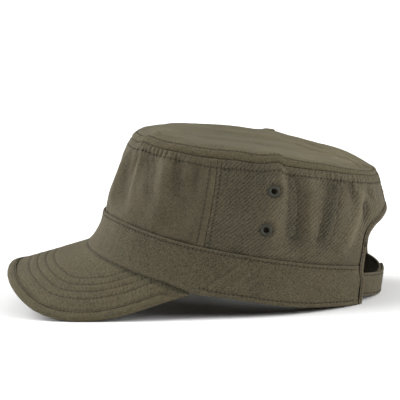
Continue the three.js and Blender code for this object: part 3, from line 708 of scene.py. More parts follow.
# creases of the crown wall: height, width, then the line that it follows as
# (millimetres round from the front, millimetres below the crown seam)
CREASES = [
    (1.15, 3.6, [(47.0, -3.0), (50.0, 4.0), (53.0, 10.0), (52.6, 22.0), (55.5, 38.0)]),
    (-1.5, 2.4, [(48.8, 2.0), (49.3, 9.0), (48.8, 18.0)]),
    (-1.20, 6.0, [(63.0, 3.0), (68.0, 18.0), (73.5, 34.0)]),
    (0.90, 4.2, [(77.0, 3.0), (81.0, 18.0), (84.5, 34.0)]),
    (-1.10, 3.6, [(87.5, 3.0), (90.0, 28.0)]),
    (0.75, 2.4, [(95.2, 2.0), (96.2, 16.0)]),
    (-0.85, 2.8, [(102.6, 6.0), (103.4, 26.0)]),
    (0.80, 3.6, [(33.0, 5.0), (33.4, 22.0), (35.0, 44.0)]),
    (-0.80, 3.4, [(41.0, 8.0), (44.0, 32.0)]),
    (0.80, 6.0, [(158.0, 0.0), (157.0, 14.0), (155.0, 46.0)]),
    (0.55, 2.2, [(158.6, -1.0), (160.4, 12.0), (160.0, 20.0)]),
    (-1.25, 4.6, [(165.0, 3.0), (167.6, 20.0), (167.0, 48.0)]),
    (0.85, 5.0, [(179.5, 4.0), (179.0, 44.0)]),
    (-1.9, 5.4, [(199.0, 5.0), (195.0, 17.0), (187.6, 46.0)]),
    (2.1, 4.6, [(220.0, 9.0), (216.0, 24.0), (209.6, 35.0), (203.0, 48.0)]),
    (-1.4, 2.6, [(212.0, 4.0), (212.8, 16.0)]),
    (-1.05, 2.4, [(231.0, 6.5), (231.6, 11.5)]),
    (0.75, 1.9, [(239.0, 2.0), (236.4, 9.5), (235.8, 16.0)]),
    (-1.5, 2.8, [(225.0, 16.0), (222.0, 27.0)]),
    (1.00, 3.4, [(-30.0, 3.0), (-34.0, 24.0), (-33.0, 44.0)]),
    (-1.10, 3.0, [(-42.0, 4.0), (-45.0, 30.0)]),
    (0.90, 4.4, [(-58.0, 2.0), (-60.0, 38.0)]),
    (-1.15, 5.0, [(-74.0, 5.0), (-70.0, 36.0)]),
    (0.80, 3.0, [(-92.0, 2.0), (-94.0, 22.0)]),
    (-0.80, 3.2, [(-101.0, 6.0), (-104.0, 30.0)]),
    (-1.20, 4.4, [(-146.0, 4.0), (-143.0, 44.0)]),
    (0.80, 5.0, [(-172.0, 3.0), (-175.0, 42.0)]),
    (-1.20, 5.0, [(-186.0, 5.0), (-189.0, 46.0)]),
    (1.10, 4.6, [(-206.0, 6.0), (-199.0, 46.0)]),
    (-0.90, 3.0, [(-222.0, 5.0), (-220.0, 20.0)]),
    (0.80, 3.6, [(4.0, 3.0), (2.0, 26.0)]),
    (-0.90, 3.8, [(16.0, 4.0), (18.0, 34.0)]),
    (-0.80, 3.4, [(-14.0, 5.0), (-12.0, 30.0)]),
]


def seam_row(s):
    """Distance of the lower row from the crown seam."""
    return SEAM_ROW + 1.0 * bell(abs(s) - ARC_SEAM - 3.0, 16.0)


def side_row(s):
    return np.where(abs(s) < ARC_SEAM, SIDE_ROW, SIDE_ROW_BACK)


def pucker_zone(deg):
    z = 0.42
    for angle, width, strength in PUCKER_ZONES:
        z = z + strength * bell(wrap(deg - angle), width)
    return z


def creases(s, t):
    h = 0.0
    for height, width, line in CREASES:
        ls, lt = np.array(line).T
        mid = np.interp(t, lt, ls) + 0.25 * width * noise(t / 9.0, ls[0], 201)
        ramp = smooth((t - lt[0] + 2.0) / 6.0) * smooth((lt[-1] + 8.0 - t) / 16.0)
        h = h + height * bell(s - mid, width) * ramp
    return h


def seam_lift(s):
    """The crown seam's own small ups and downs, where a fold pulls at it."""
    up = 1.5 * smooth((s - 146.0) / 10.0) * (1 - smooth((s - 157.5) / 4.5))
    up = up - 0.8 * bell(s - 139.0, 7.0) + 0.9 * smooth((s - 46.0) / 3.0) * bell(s - 46.0, 12.0) - 0.5 * bell(s - 41.0, 5.0)
    return up + 0.7 * noise(s / 31.0, 9.7, 211) * smooth((abs(s + 60.0) - 20.0) / 30.0)


def nearest_row(rows):
    """(distance, stitch count) of the nearest of several rows."""
    d = np.stack([np.broadcast_to(r[0], rows[0][0].shape) for r in rows])
    a = np.stack([np.broadcast_to(r[1], rows[0][0].shape) for r in rows])
    k = d.argmin(0)[None]
    return np.stack([np.take_along_axis(d, k, 0)[0], np.take_along_axis(a, k, 0)[0] / PITCH], -1)


def crown_rows_map(deg, v):
    s = arc(deg)
    dt = (2 - v) * crown_length(deg)
    df = abs(abs(s) - ARC_SEAM)
    return nearest_row([(abs(dt - seam_row(s)), s), (abs(df - side_row(s)), dt), (abs(ARC_BACK - abs(s) - SIDE_ROW), dt)])


def crown_relief(deg, v):
    s = arc(deg)
    L = crown_length(deg)
    dt = (2 - v) * L
    db = (v - 1) * L
    zone = pucker_zone(deg)
    h1, t1 = sewn(dt, seam_row(s), s, 11, pucker=0.46, period=3.9, raise_by=0.30, lean=0.10)
    h0, t0 = sewn(dt, seam_row(s), s, 11, pucker=0.0, raise_by=0.30, lean=0.10)
    h1, t1 = h0 + (h1 - h0) * zone, t0 + (t1 - t0) * zone
    df = np.abs(np.abs(s) - ARC_SEAM)
    hf, tf = sewn(df, side_row(s), dt, 31, pucker=0.14, period=5.0, raise_by=0.20, seam=0.12, dark=0.4)
    dbk = ARC_BACK - np.abs(s)
    hb, tb = sewn(dbk, SIDE_ROW, dt, 47, pucker=0.14, period=5.0, raise_by=0.20, seam=0.12, dark=0.4)
    near_top = smooth((dt - 1.0) / 6.0)
    w = cloth_wrinkles(s, dt, 5)
    c = creases(s, dt) * smooth((df - 1.0) / 5.0) * smooth(dt / 4.0) * smooth((dbk - 1.0) / 6.0)
    # gathers where the crown comes out of the band
    g = 0.22 * noise(s / 6.5, 3.3, 61) * bell(db, 9.0) - 0.25 * bell(db, 1.3)
    c = c * (1.0 + 0.30 * smooth((s - 150.0) / 30.0))
    h = h1 + hf + hb + w * (0.35 + 0.65 * near_top) + g + 1.12 * c
    # painted shade, darker behind the front upright seams
    painted_side_shade = -0.52 * bell(np.abs(s) - ARC_SEAM - 17.0, 17.0) * (np.abs(s) > ARC_SEAM)
    # tone: painted light and shade on the wrinkles, gathers and creases, and painted shade at the foot of the wall
    # under the band's lip
    tone = t1 + tf + tb + painted_side_shade + 0.9 * w + 0.5 * g + (0.66 + 0.30 * smooth((s - 150.0) / 30.0)) * c
    return h, tone - 0.5 * bell(db, 1.0)


def crown_outer(deg, v):
    """Point on the finished outer face of the crown wall, for stitches."""
    p = crown_base(deg, v)
    p = press_eyelets(p)
    h, _ = crown_relief(deg, v)
    e = 0.05
    n = unit(np.cross(crown_base(deg + e, v) - crown_base(deg - e, v), crown_base(deg, v + 0.001) - crown_base(deg, v - 0.001)))
    return p + n * h[..., None]


# ---------------------------------------------------------------- materials
def srgb(r, g, b, a=1.0):
    def lin(c):
        c /= 255.0
        return c / 12.92 if c <= 0.04045 else ((c + 0.055) / 1.055) ** 2.4
    return (lin(r), lin(g), lin(b), a)


class Nodes:
    """Short hand for building a node tree."""

    def __init__(self, name):
        self.mat = bpy.data.materials.new(name)
        self.mat.use_nodes = True
        self.tree = self.mat.node_tree
        self.tree.nodes.clear()
        self.out = self.add("ShaderNodeOutputMaterial")

    def add(self, kind, **values):
        n = self.tree.nodes.new(kind)
        for k, v in values.items():
            setattr(n, k, v)
        return n

    def link(self, a, b):
        self.tree.links.new(a, b)

    def math(self, op, a, b=None, c=None, clamp=False):
        n = self.add("ShaderNodeMath", operation=op, use_clamp=clamp)
        for i, x in enumerate((a, b, c)):
            if x is None:
                continue
            if isinstance(x, (int, float)):
                n.inputs[i].default_value = x
            else:
                self.link(x, n.inputs[i])
        return n.outputs[0]

    def noise(self, vector, scale, detail=2.0, rough=0.5, dims="3D"):
        n = self.add("ShaderNodeTexNoise", noise_dimensions=dims)
        n.inputs["Scale"].default_value = scale
        n.inputs["Detail"].default_value = detail
        n.inputs["Roughness"].default_value = rough
        self.link(vector, n.inputs["Vector"])
        return n.outputs["Fac"]

    def mapping(self, vector, scale=(1, 1, 1), rotation=(0, 0, 0), location=(0, 0, 0)):
        n = self.add("ShaderNodeMapping")
        n.inputs["Scale"].default_value = scale
        n.inputs["Rotation"].default_value = rotation
        n.inputs["Location"].default_value = location
        self.link(vector, n.inputs["Vector"])
        return n.outputs[0]

    def ramp(self, fac, stops):
        n = self.add("ShaderNodeValToRGB")
        cr = n.color_ramp
        while len(cr.elements) < len(stops):
            cr.elements.new(0.5)
        for e, (pos, col) in zip(cr.elements, stops):
            e.position = pos
            e.color = col
        self.link(fac, n.inputs[0])
        return n.outputs[0]

    def mix(self, fac, a, b, blend="MIX"):
        n = self.add("ShaderNodeMix", data_type="RGBA", blend_type=blend)
        for sock, x in ((n.inputs[0], fac), (n.inputs[6], a), (n.inputs[7], b)):
            if isinstance(x, (int, float)):
                sock.default_value = x
            elif isinstance(x, tuple):
                sock.default_value = x
            else:
                self.link(x, sock)
        return n.outputs[2]


def cloth_material(name, colour, twill_angle=40.0, twill=0.5, period=1.9, seed=0.0, grain=1.0, sheen=0.12, relief=0.55):
    """Washed cotton twill: weave lines, yarn grain, patchy dye, ridges made lighter
    by wear and painted light, and painted shade in seams, grooves and creases.  The weave follows the cloth's own
    millimetres."""
    m = Nodes(name)
    cloth = m.add("ShaderNodeAttribute", attribute_name="cloth", attribute_type="GEOMETRY").outputs["Vector"]
    tone = m.add("ShaderNodeAttribute", attribute_name="tone", attribute_type="GEOMETRY").outputs["Fac"]
    sew = m.add("ShaderNodeSeparateXYZ")
    m.link(m.add("ShaderNodeAttribute", attribute_name="sew", attribute_type="GEOMETRY").outputs["Vector"], sew.inputs[0])
    # sewing: x is the distance to the nearest row, y counts its stitches
    row = m.math("POWER", 2.71828, m.math("MULTIPLY", m.math("MULTIPLY", sew.outputs[0], sew.outputs[0]), -2.4))
    hole = m.math("MAXIMUM", m.math("COSINE", m.math("MULTIPLY", sew.outputs[1], 2 * math.pi)), 0.0)
    hole = m.math("MULTIPLY", hole, hole)
    needle = m.math("MULTIPLY", row, m.math("MULTIPLY_ADD", hole, 0.90, 0.10))
    at = m.mapping(cloth, location=(seed * 13.7, seed * 7.1, seed))
    # twill: a wave across the diagonal, bent by a little noise and broken into yarns
    turned = m.mapping(at, rotation=(0, 0, -math.radians(twill_angle)))
    sep = m.add("ShaderNodeSeparateXYZ")
    m.link(turned, sep.inputs[0])
    bend = m.noise(m.mapping(at, scale=(0.12, 0.12, 0.12)), 1.0, 2.0)
    phase = m.math("ADD", m.math("MULTIPLY", sep.outputs[1], 2 * math.pi / period), m.math("MULTIPLY", bend, 5.0))
    wave = m.math("SINE", phase)
    yarn = m.math("SINE", m.math("ADD", m.math("MULTIPLY", sep.outputs[0], 2 * math.pi / 1.15), m.math("MULTIPLY", wave, 1.2)))
    slub = m.noise(m.mapping(turned, scale=(0.35, 1.5, 1.0)), 1.0, 3.0, 0.6)
    fine = m.noise(m.mapping(at, scale=(1.3, 1.3, 1.3)), 1.0, 2.0, 0.7)
    patch = m.noise(m.mapping(at, scale=(0.085, 0.06, 0.1)), 1.0, 3.0, 0.55)
    broad = m.noise(m.mapping(at, scale=(0.022, 0.022, 0.03)), 1.0, 2.0, 0.5)
    hue = m.noise(m.mapping(at, scale=(0.075, 0.06, 0.1), location=(31, 17, 5)), 1.0, 3.0, 0.55)
    # how strongly the diagonal shows comes and goes over the cloth
    show = m.math("MULTIPLY_ADD", broad, 1.1, 0.35 * twill, clamp=False)
    weave = m.math("MULTIPLY", m.math("MULTIPLY", wave, show), twill)
    height = m.math("ADD", m.math("MULTIPLY", weave, 0.5), m.math("MULTIPLY_ADD", yarn, 0.10, m.math("MULTIPLY", fine, 0.5)))
    height = m.math("MULTIPLY_ADD", needle, -1.6, height)
    # brightness about 1
    light = m.math("MULTIPLY_ADD", weave, 0.17, 1.0)
    light = m.math("MULTIPLY_ADD", m.math("SUBTRACT", fine, 0.5), 2.3 * grain, light)
    light = m.math("MULTIPLY_ADD", m.math("SUBTRACT", slub, 0.5), 0.9 * grain, light)
    light = m.math("MULTIPLY_ADD", m.math("SUBTRACT", patch, 0.5), 0.24, light)
    light = m.math("MULTIPLY_ADD", m.math("SUBTRACT", broad, 0.5), 0.18, light)
    # tone above 0 lightens: partly wear, partly painted light on ridges and edges; tone below 0 darkens: painted shade
    # in grooves, creases and under neighbouring parts
    wear_and_painted_light = m.math("MAXIMUM", tone, 0.0)
    painted_shade = m.math("MINIMUM", tone, 0.0)
    light = m.math("MULTIPLY_ADD", wear_and_painted_light, 0.16, light)
    light = m.math("MULTIPLY_ADD", painted_shade, 0.34, light)
    # painted shade in the needle holes along each stitch row
    light = m.math("MULTIPLY", light, m.math("MULTIPLY_ADD", needle, -0.78, 1.0))
    light = m.math("MAXIMUM", light, 0.2)
    r, g, b = colour
    green = srgb(r - 1.3, g + 0.2, b + 0.2)
    brown = srgb(r + 1.3, g - 0.2, b - 0.3)
    base = m.mix(m.math("MULTIPLY_ADD", m.math("SUBTRACT", hue, 0.5), 2.4, 0.5, clamp=True), green, brown)
    grey = m.add("ShaderNodeCombineColor")
    for i in range(3):
        m.link(light, grey.inputs[i])
    base = m.mix(1.0, base, grey.outputs[0], "MULTIPLY")
    bs = m.add("ShaderNodeBsdfPrincipled")
    m.link(base, bs.inputs["Base Color"])
    rough = m.math("MULTIPLY_ADD", m.math("SUBTRACT", fine, 0.5), 0.16, 0.9, clamp=True)
    m.link(rough, bs.inputs["Roughness"])
    bs.inputs["Specular IOR Level"].default_value = 0.22
    bs.inputs["Sheen Weight"].default_value = sheen
    bs.inputs["Sheen Roughness"].default_value = 0.45
    bs.inputs["Sheen Tint"].default_value = srgb(190, 186, 168)
    bump = m.add("ShaderNodeBump")
    bump.inputs["Strength"].default_value = relief
    bump.inputs["Distance"].default_value = 0.00028
    m.link(height, bump.inputs["Height"])
    m.link(bump.outputs[0], bs.inputs["Normal"])
    m.link(bs.outputs[0], m.out.inputs[0])
    return m.mat


def thread_material(name, colour):
    m = Nodes(name)
    cloth = m.add("ShaderNodeAttribute", attribute_name="cloth", attribute_type="GEOMETRY").outputs["Vector"]
    fibre = m.noise(m.mapping(cloth, scale=(3.0, 3.0, 3.0)), 1.0, 2.0, 0.6)
    patch = m.noise(m.mapping(cloth, scale=(0.11, 0.11, 0.11)), 1.0, 2.0, 0.5)
    f = m.math("ADD", m.math("MULTIPLY", fibre, 0.5), m.math("MULTIPLY", patch, 0.5))
    r, g, b = colour
    col = m.ramp(f, [(0.25, srgb(r * 0.78, g * 0.78, b * 0.78)), (0.75, srgb(r * 1.2, g * 1.2, b * 1.2))])
    bs = m.add("ShaderNodeBsdfPrincipled")
    m.link(col, bs.inputs["Base Color"])
    m.link(m.math("MULTIPLY_ADD", fibre, 0.2, 0.75), bs.inputs["Roughness"])
    bs.inputs["Specular IOR Level"].default_value = 0.12
    bs.inputs["Sheen Weight"].default_value = 0.05
    twist = m.add("ShaderNodeTexWave", wave_type="BANDS", bands_direction="DIAGONAL")
    twist.inputs["Scale"].default_value = 2.2
    twist.inputs["Distortion"].default_value = 1.0
    m.link(m.mapping(cloth, scale=(1, 1, 1)), twist.inputs["Vector"])
    bump = m.add("ShaderNodeBump")
    bump.inputs["Strength"].default_value = 0.5
    bump.inputs["Distance"].default_value = 0.0001
    m.link(twist.outputs["Fac"], bump.inputs["Height"])
    m.link(bump.outputs[0], bs.inputs["Normal"])
    m.link(bs.outputs[0], m.out.inputs[0])
    return m.mat


def metal_material(name, paint, bare):
    """Painted eyelet: matt paint, rubbed to metal on its highest edge."""
    m = Nodes(name)
    cloth = m.add("ShaderNodeAttribute", attribute_name="cloth", attribute_type="GEOMETRY").outputs["Vector"]
    tone = m.add("ShaderNodeAttribute", attribute_name="tone", attribute_type="GEOMETRY").outputs["Fac"]
    speck = m.noise(m.mapping(cloth, scale=(2.2, 2.2, 2.2)), 1.0, 4.0, 0.65)
    fine = m.noise(m.mapping(cloth, scale=(7.0, 7.0, 7.0)), 1.0, 2.0, 0.5)
    wear = m.math("MULTIPLY_ADD", speck, 1.6, m.math("MULTIPLY_ADD", tone, 1.0, -1.35), clamp=True)
    col = m.mix(wear, srgb(*paint), srgb(*bare))
    shade = m.math("MULTIPLY_ADD", m.math("SUBTRACT", speck, 0.5), 0.5, 1.0)
    grey = m.add("ShaderNodeCombineColor")
    for i in range(3):
        m.link(shade, grey.inputs[i])
    col = m.mix(1.0, col, grey.outputs[0], "MULTIPLY")
    bs = m.add("ShaderNodeBsdfPrincipled")
    m.link(col, bs.inputs["Base Color"])
    m.link(m.math("MULTIPLY_ADD", wear, 0.6, 0.08, clamp=True), bs.inputs["Metallic"])
    m.link(m.math("MULTIPLY_ADD", fine, 0.22, 0.5, clamp=True), bs.inputs["Roughness"])
    bs.inputs["Coat Weight"].default_value = 0.03
    bs.inputs["Specular IOR Level"].default_value = 0.28
    bs.inputs["Coat Roughness"].default_value = 0.35
    bump = m.add("ShaderNodeBump")
    bump.inputs["Strength"].default_value = 0.35
    bump.inputs["Distance"].default_value = 0.00008
    m.link(speck, bump.inputs["Height"])
    m.link(bump.outputs[0], bs.inputs["Normal"])
    m.link(bs.outputs[0], m.out.inputs[0])
    return m.mat


CROWN = cloth_material("crown_twill", (76, 70, 55), twill_angle=49, twill=1.0, seed=1)
FRONT = cloth_material("front_twill", (76, 70, 54), twill_angle=65, twill=0.22, grain=0.85, seed=2)
TOPC = cloth_material("top_twill", (76, 70, 52), twill_angle=35, twill=0.12, grain=1.3, seed=3)
BANDC = cloth_material("band_twill", (75, 69, 53), twill_angle=55, twill=0.25, seed=4, grain=1.25, relief=0.4)
PEAKC = cloth_material("peak_twill", (78, 72, 54), twill_angle=35, twill=0.42, seed=5, grain=0.85, relief=0.25)
TAPEC = cloth_material("tape_twill", (76, 69, 54), twill_angle=45, twill=0.2, seed=6)
STRAPC = cloth_material("strap_twill", (75, 69, 53), twill_angle=40, twill=0.2, seed=7)
THREAD = thread_material("sewing_thread", (57, 50, 37))
METAL = metal_material("painted_eyelet", (46, 46, 38), (74, 72, 61))


def finish_piece(obj, material, slot, *nodes):
    obj.data.materials.append(material)
    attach(obj, "root")
    if nodes:
        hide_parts(*nodes)
    MESHES.append(obj)
    return obj


# ---------------------------------------------------------------- crown wall
EDGE = 0.40                     # how far a rolled edge reaches past its last row
SEAT = EDGE
BELOW = 1.3                     # crown cloth goes on down behind the band's lip


def crown_rows(deg):
    """Levels down the wall at each angle, close together at the stitch row."""
    top = spaced(9.0 - SEAT, [SEAM_ROW - SEAT, SEAM_ROW + 1.0 - SEAT, 0.0]) + SEAT
    L = crown_length(deg)[:, None]
    upper = 2 - top[None, :] / L
    n = 52
    t = np.arange(1, n + 1) / n
    lower = lerp(2 - 9.0 / L, 1 - BELOW / L, t[None, :])
    return np.concatenate([upper, lower], 1)[:, ::-1]


def side_columns(length):
    c = spaced(12.0 - SEAT, [SIDE_ROW_BACK - SEAT, SIDE_ROW - SEAT, 0.0]) + SEAT
    middle = np.linspace(12.0, length - 12.0, int((length - 24.0) / 0.88))[1:-1]
    return np.concatenate([c, middle, (length - c)[::-1]])


def panel(name, s_from, s_to):
    s = s_from + side_columns(s_to - s_from)
    deg = arc_to_deg(s)
    v = crown_rows(deg)
    D = np.repeat(deg[:, None], v.shape[1], 1)
    return D, v


def to_arch(deg, v, e):
    """Moves (deg, v) points onto the opening's edge grown by e."""
    curve = arch_curve(e, 30.0, 3000)
    p = crown_base(deg, v)
    for _ in range(3):
        d = (p[:, None, 0] - curve[None, :, 0]) ** 2 + (p[:, None, 2] - curve[None, :, 1]) ** 2
        goal = curve[d.argmin(1)]
        for _ in range(4):
            p = crown_base(deg, v)
            pd = (crown_base(deg + 0.05, v) - p) / 0.05
            pv = (crown_base(deg, v + 0.001) - p) / 0.001
            rx, rz = goal[:, 0] - p[:, 0], goal[:, 1] - p[:, 2]
            det = pd[:, 0] * pv[:, 2] - pd[:, 2] * pv[:, 0]
            det = np.where(abs(det) < 1e-6, 1e-6, det)
            dd = (rx * pv[:, 2] - rz * pv[:, 0]) / det
            dv = (pd[:, 0] * rz - pd[:, 2] * rx) / det
            deg, v = deg + np.clip(dd, -2, 2), v + np.clip(dv, -0.04, 0.04)
        p = crown_base(deg, v)
    return deg, v


def build_panel(name, D, V, material, slot, node, side=0):
    nu, nv = D.shape
    faces = grid_faces(nu, nv)
    deg, v = D.ravel().copy(), V.ravel().copy()
    p = crown_base(deg, v)
    if side:
        cut = TAPE - 1.2 + 0.3
        keep = arch_level(p[:, 0], p[:, 2], cut) >= 1.0
        keep |= p[:, 1] < 0
        faces = faces[keep[faces].all(1)]
        e = boundary(faces, len(p))
        rim = np.unique(e)
        r, c = rim // nv, rim % nv
        inside = (r > 0) & (r < nu - 1) & (c > 0) & (c < nv - 1) | (arch_level(p[rim, 0], p[rim, 2], cut) < 1.06) & (p[rim, 1] > 60)
        rim = rim[inside & (r < nu - 1) & (c < nv - 1)]
        deg[rim], v[rim] = to_arch(deg[rim], v[rim], cut)
        p = crown_base(deg, v)
        # openings under the eyelets
        for key, f in EYE_FRAMES.items():
            if (key[0] == "left") != (side > 0):
                continue
            q = p - f["c"]
            h = q @ f["n"]
            flat = q - h[:, None] * f["n"]
            rr = np.linalg.norm(flat, axis=1)
            hole = (rr < 3.3) & (abs(h) < 8)
            faces = faces[~hole[faces].any(1)]
            e = boundary(faces, len(p))
            rim = np.unique(e)
            rim = rim[(rr[rim] < 5.0) & (abs(h[rim]) < 8)]
            p[rim] = p[rim] + flat[rim] * (3.35 / rr[rim] - 1)[:, None]
    base = press_eyelets(p) if side else p
    relief, tone = crown_relief(deg, v)
    if side:
        mask = eyelet_mask(p)
        relief = relief * mask
        tone = tone * mask - 0.5 * (1 - mask)
    cloth = np.stack([arc(deg), (v - 1) * crown_length(deg)], -1)
    obj = shell(name, base, faces, relief, CLOTH, relief_in=-0.5 * relief, edge=EDGE, cloth=cloth, tone=tone, sew=crown_rows_map(deg, v))
    return finish_piece(obj, material, slot, node)


D, V = panel("front", -ARC_SEAM, ARC_SEAM)
build_panel("front_panel_cloth", D, V, FRONT, "crown_cloth", "front_panel")
D, V = panel("left", ARC_SEAM, ARC_BACK)
build_panel("side_panel_left_cloth", D, V, CROWN, "crown_cloth", "side_panel_left", 1)
D, V = panel("right", -ARC_BACK, -ARC_SEAM)
build_panel("side_panel_right_cloth", D, V, CROWN, "crown_cloth", "side_panel_right", -1)

# ---------------------------------------------------------------- top panel
_prof = catmull([(a, b, 0.0) for a, b in SHOULDER], 30)[:, :2]
_prof_q = np.r_[0, np.cumsum(np.linalg.norm(np.diff(_prof, axis=0), axis=1))]
_cy = LEVELS["crown_seam"][2]
_hl = LEVELS["crown_seam"][1]
_front_z, _back_z = float(seam_z(0.0)), float(seam_z(150.0)) - 1.0


def top_plane(y):
    return lerp(_front_z, _back_z, (y - (_cy - _hl)) / (2 * _hl))


def rim_radius(deg):
    p = wall(deg, 2.0)
    return np.hypot(p[..., 0], p[..., 1] - _cy)


# ridges (+) and creases (-) of the top panel: height, width, line of (x, y)
TOP_FOLDS = [
    (1.5, 4.6, [(-57.0, 58.0), (-48.0, 73.0), (-37.0, 83.0), (-22.0, 92.0)]),
    (-0.9, 6.0, [(-62.0, 26.0), (-60.0, 38.0), (-57.0, 50.0)]),
    (-1.7, 2.6, [(-40.0, 48.0), (-29.5, 65.5), (-14.0, 78.0), (-1.5, 86.0), (16.0, 93.0)]),
    (1.5, 3.6, [(-30.0, 52.0), (-20.0, 68.0), (-6.0, 78.0), (12.0, 88.0)]),
    (-1.7, 2.4, [(-24.0, 40.0), (-16.8, 55.0), (-2.8, 73.2), (12.0, 81.0), (27.0, 88.0)]),
    (1.1, 4.0, [(-12.0, 44.0), (0.0, 66.0), (16.0, 77.0), (34.0, 85.0)]),
    (-0.6, 5.0, [(12.0, 40.0), (28.0, 68.0), (44.0, 78.0)]),
    (1.5, 5.0, [(-64.0, 11.0), (-63.0, 17.0), (-61.0, 21.0)]),
    (-0.9, 5.0, [(-60.0, 2.0), (-58.0, 10.0)]),
    (0.7, 7.0, [(-30.0, -30.0), (-34.0, 10.0), (-30.0, 34.0)]),
    (-0.6, 8.0, [(10.0, -40.0), (14.0, 0.0), (8.0, 30.0)]),
    (1.3, 2.8, [(30.0, -52.0), (38.0, -50.0), (47.0, -49.0)]),
    (0.8, 12.0, [(-50.0, -32.0), (-20.0, -45.0), (20.0, -47.0), (40.0, -42.0)]),
    (-0.9, 4.6, [(-46.0, -50.0), (-22.0, -61.0), (4.0, -64.5), (30.0, -61.0)]),
]


def line_distance(x, y, line):
    """Distance to a polyline and how far along it, 0 to 1."""
    p = np.array(line, float)
    run = np.r_[0, np.cumsum(np.linalg.norm(np.diff(p, axis=0), axis=1))]
    best = np.full(x.shape, 1e9)
    along = np.zeros(x.shape)
    for k in range(len(p) - 1):
        d = p[k + 1] - p[k]
        t = np.clip(((x - p[k, 0]) * d[0] + (y - p[k, 1]) * d[1]) / (d @ d), 0, 1)
        r = np.hypot(x - p[k, 0] - t * d[0], y - p[k, 1] - t * d[1])
        near = r < best
        best = np.where(near, r, best)
        along = np.where(near, (run[k] + t * (run[k + 1] - run[k])) / run[-1], along)
    return best, along


def top_folds(x, y):
    h = np.zeros(np.shape(x))
    xx = x + 1.0 * noise(x / 15.0, y / 15.0, 77)
    yy = y + 1.0 * noise(x / 15.0, y / 15.0, 78)
    for height, width, line in TOP_FOLDS:
        d, t = line_distance(xx, yy, line)
        h = h + 1.3 * height * bell(d, width) * (0.35 + 0.65 * smooth(t / 0.35) * smooth((1.0 - t) / 0.15))
    return h


def top_base(deg, q):
    p = wall(deg, 2.0)
    r = np.hypot(p[..., 0], p[..., 1] - _cy)
    inset = np.interp(q, _prof_q, _prof[:, 0])
    rise = np.interp(q, _prof_q, _prof[:, 1])
    k = np.clip((r - inset) / r, 0, 1)
    x, y = p[..., 0] * k, _cy + (p[..., 1] - _cy) * k
    rest = seam_z(deg) - top_plane(p[..., 1])
    z = top_plane(y) + rest * k * k + rise * dome_share(y)
    inner = smooth((inset - 2.0) / 9.0)
    z = z + top_folds(x, y) * inner + seam_lift(arc(deg)) * (1 - smooth(inset / 16.0))
    z = z + inner * (0.8 * noise(x / 34.0, y / 40.0, 73) + 0.35 * noise(x / 14.0, y / 26.0, 74))
    return np.stack([x, y, z], -1)


def top_relief(deg, q):
    s = arc(deg) * 0.93
    h, t = sewn(q, SEAM_ROW, s, 17, pucker=0.10, period=4.8, raise_by=0.26, lean=-0.1)
    h0, t0 = sewn(q, SEAM_ROW, s, 17, pucker=0.0, raise_by=0.26, lean=-0.1)
    z = np.clip(0.8 * (pucker_zone(deg) - 0.50), 0.04, 0.65)
    h, t = h0 + (h - h0) * z, t0 + (t - t0) * z
    p = wall(deg, 2.0)
    k = np.clip(1 - np.interp(q, _prof_q, _prof[:, 0]) / rim_radius(deg), 0, 1)
    x, y = p[..., 0] * k, (p[..., 1] - _cy) * k
    w = (0.20 * noise(x / 9.0, y / 17.0, 81) + 0.09 * noise(x / 4.0, y / 7.0, 82) + 0.04 * noise(x / 2.1, y / 2.6, 83)) * smooth(q / 5)
    c = top_folds(x, y + _cy) * smooth((q - 5.0) / 8.0) * lerp(0.35, 0.9, smooth((y + _cy - 32.0) / 24.0))
    # painted light: paler towards the back, darker at the front
    painted_light_gradient = lerp(-0.35, 0.9, smooth((y + _cy + 5.0) / 75.0)) * smooth((q - 5.5) / 6.0)
    # tone: painted light and shade on the wrinkles and folds, plus the painted light towards the back
    return h + w, t + 1.2 * w + c + painted_light_gradient


def top_outer(deg, q):
    e = 0.05
    p = top_base(deg, q)
    n = unit(np.cross(top_base(deg + e, q) - top_base(deg - e, q), top_base(deg, q + 0.05) - top_base(deg, q - 0.05)))
    n = n * np.where(n[..., 2:] < 0, -1.0, 1.0)
    return p + n * top_relief(deg, q)[0][..., None]


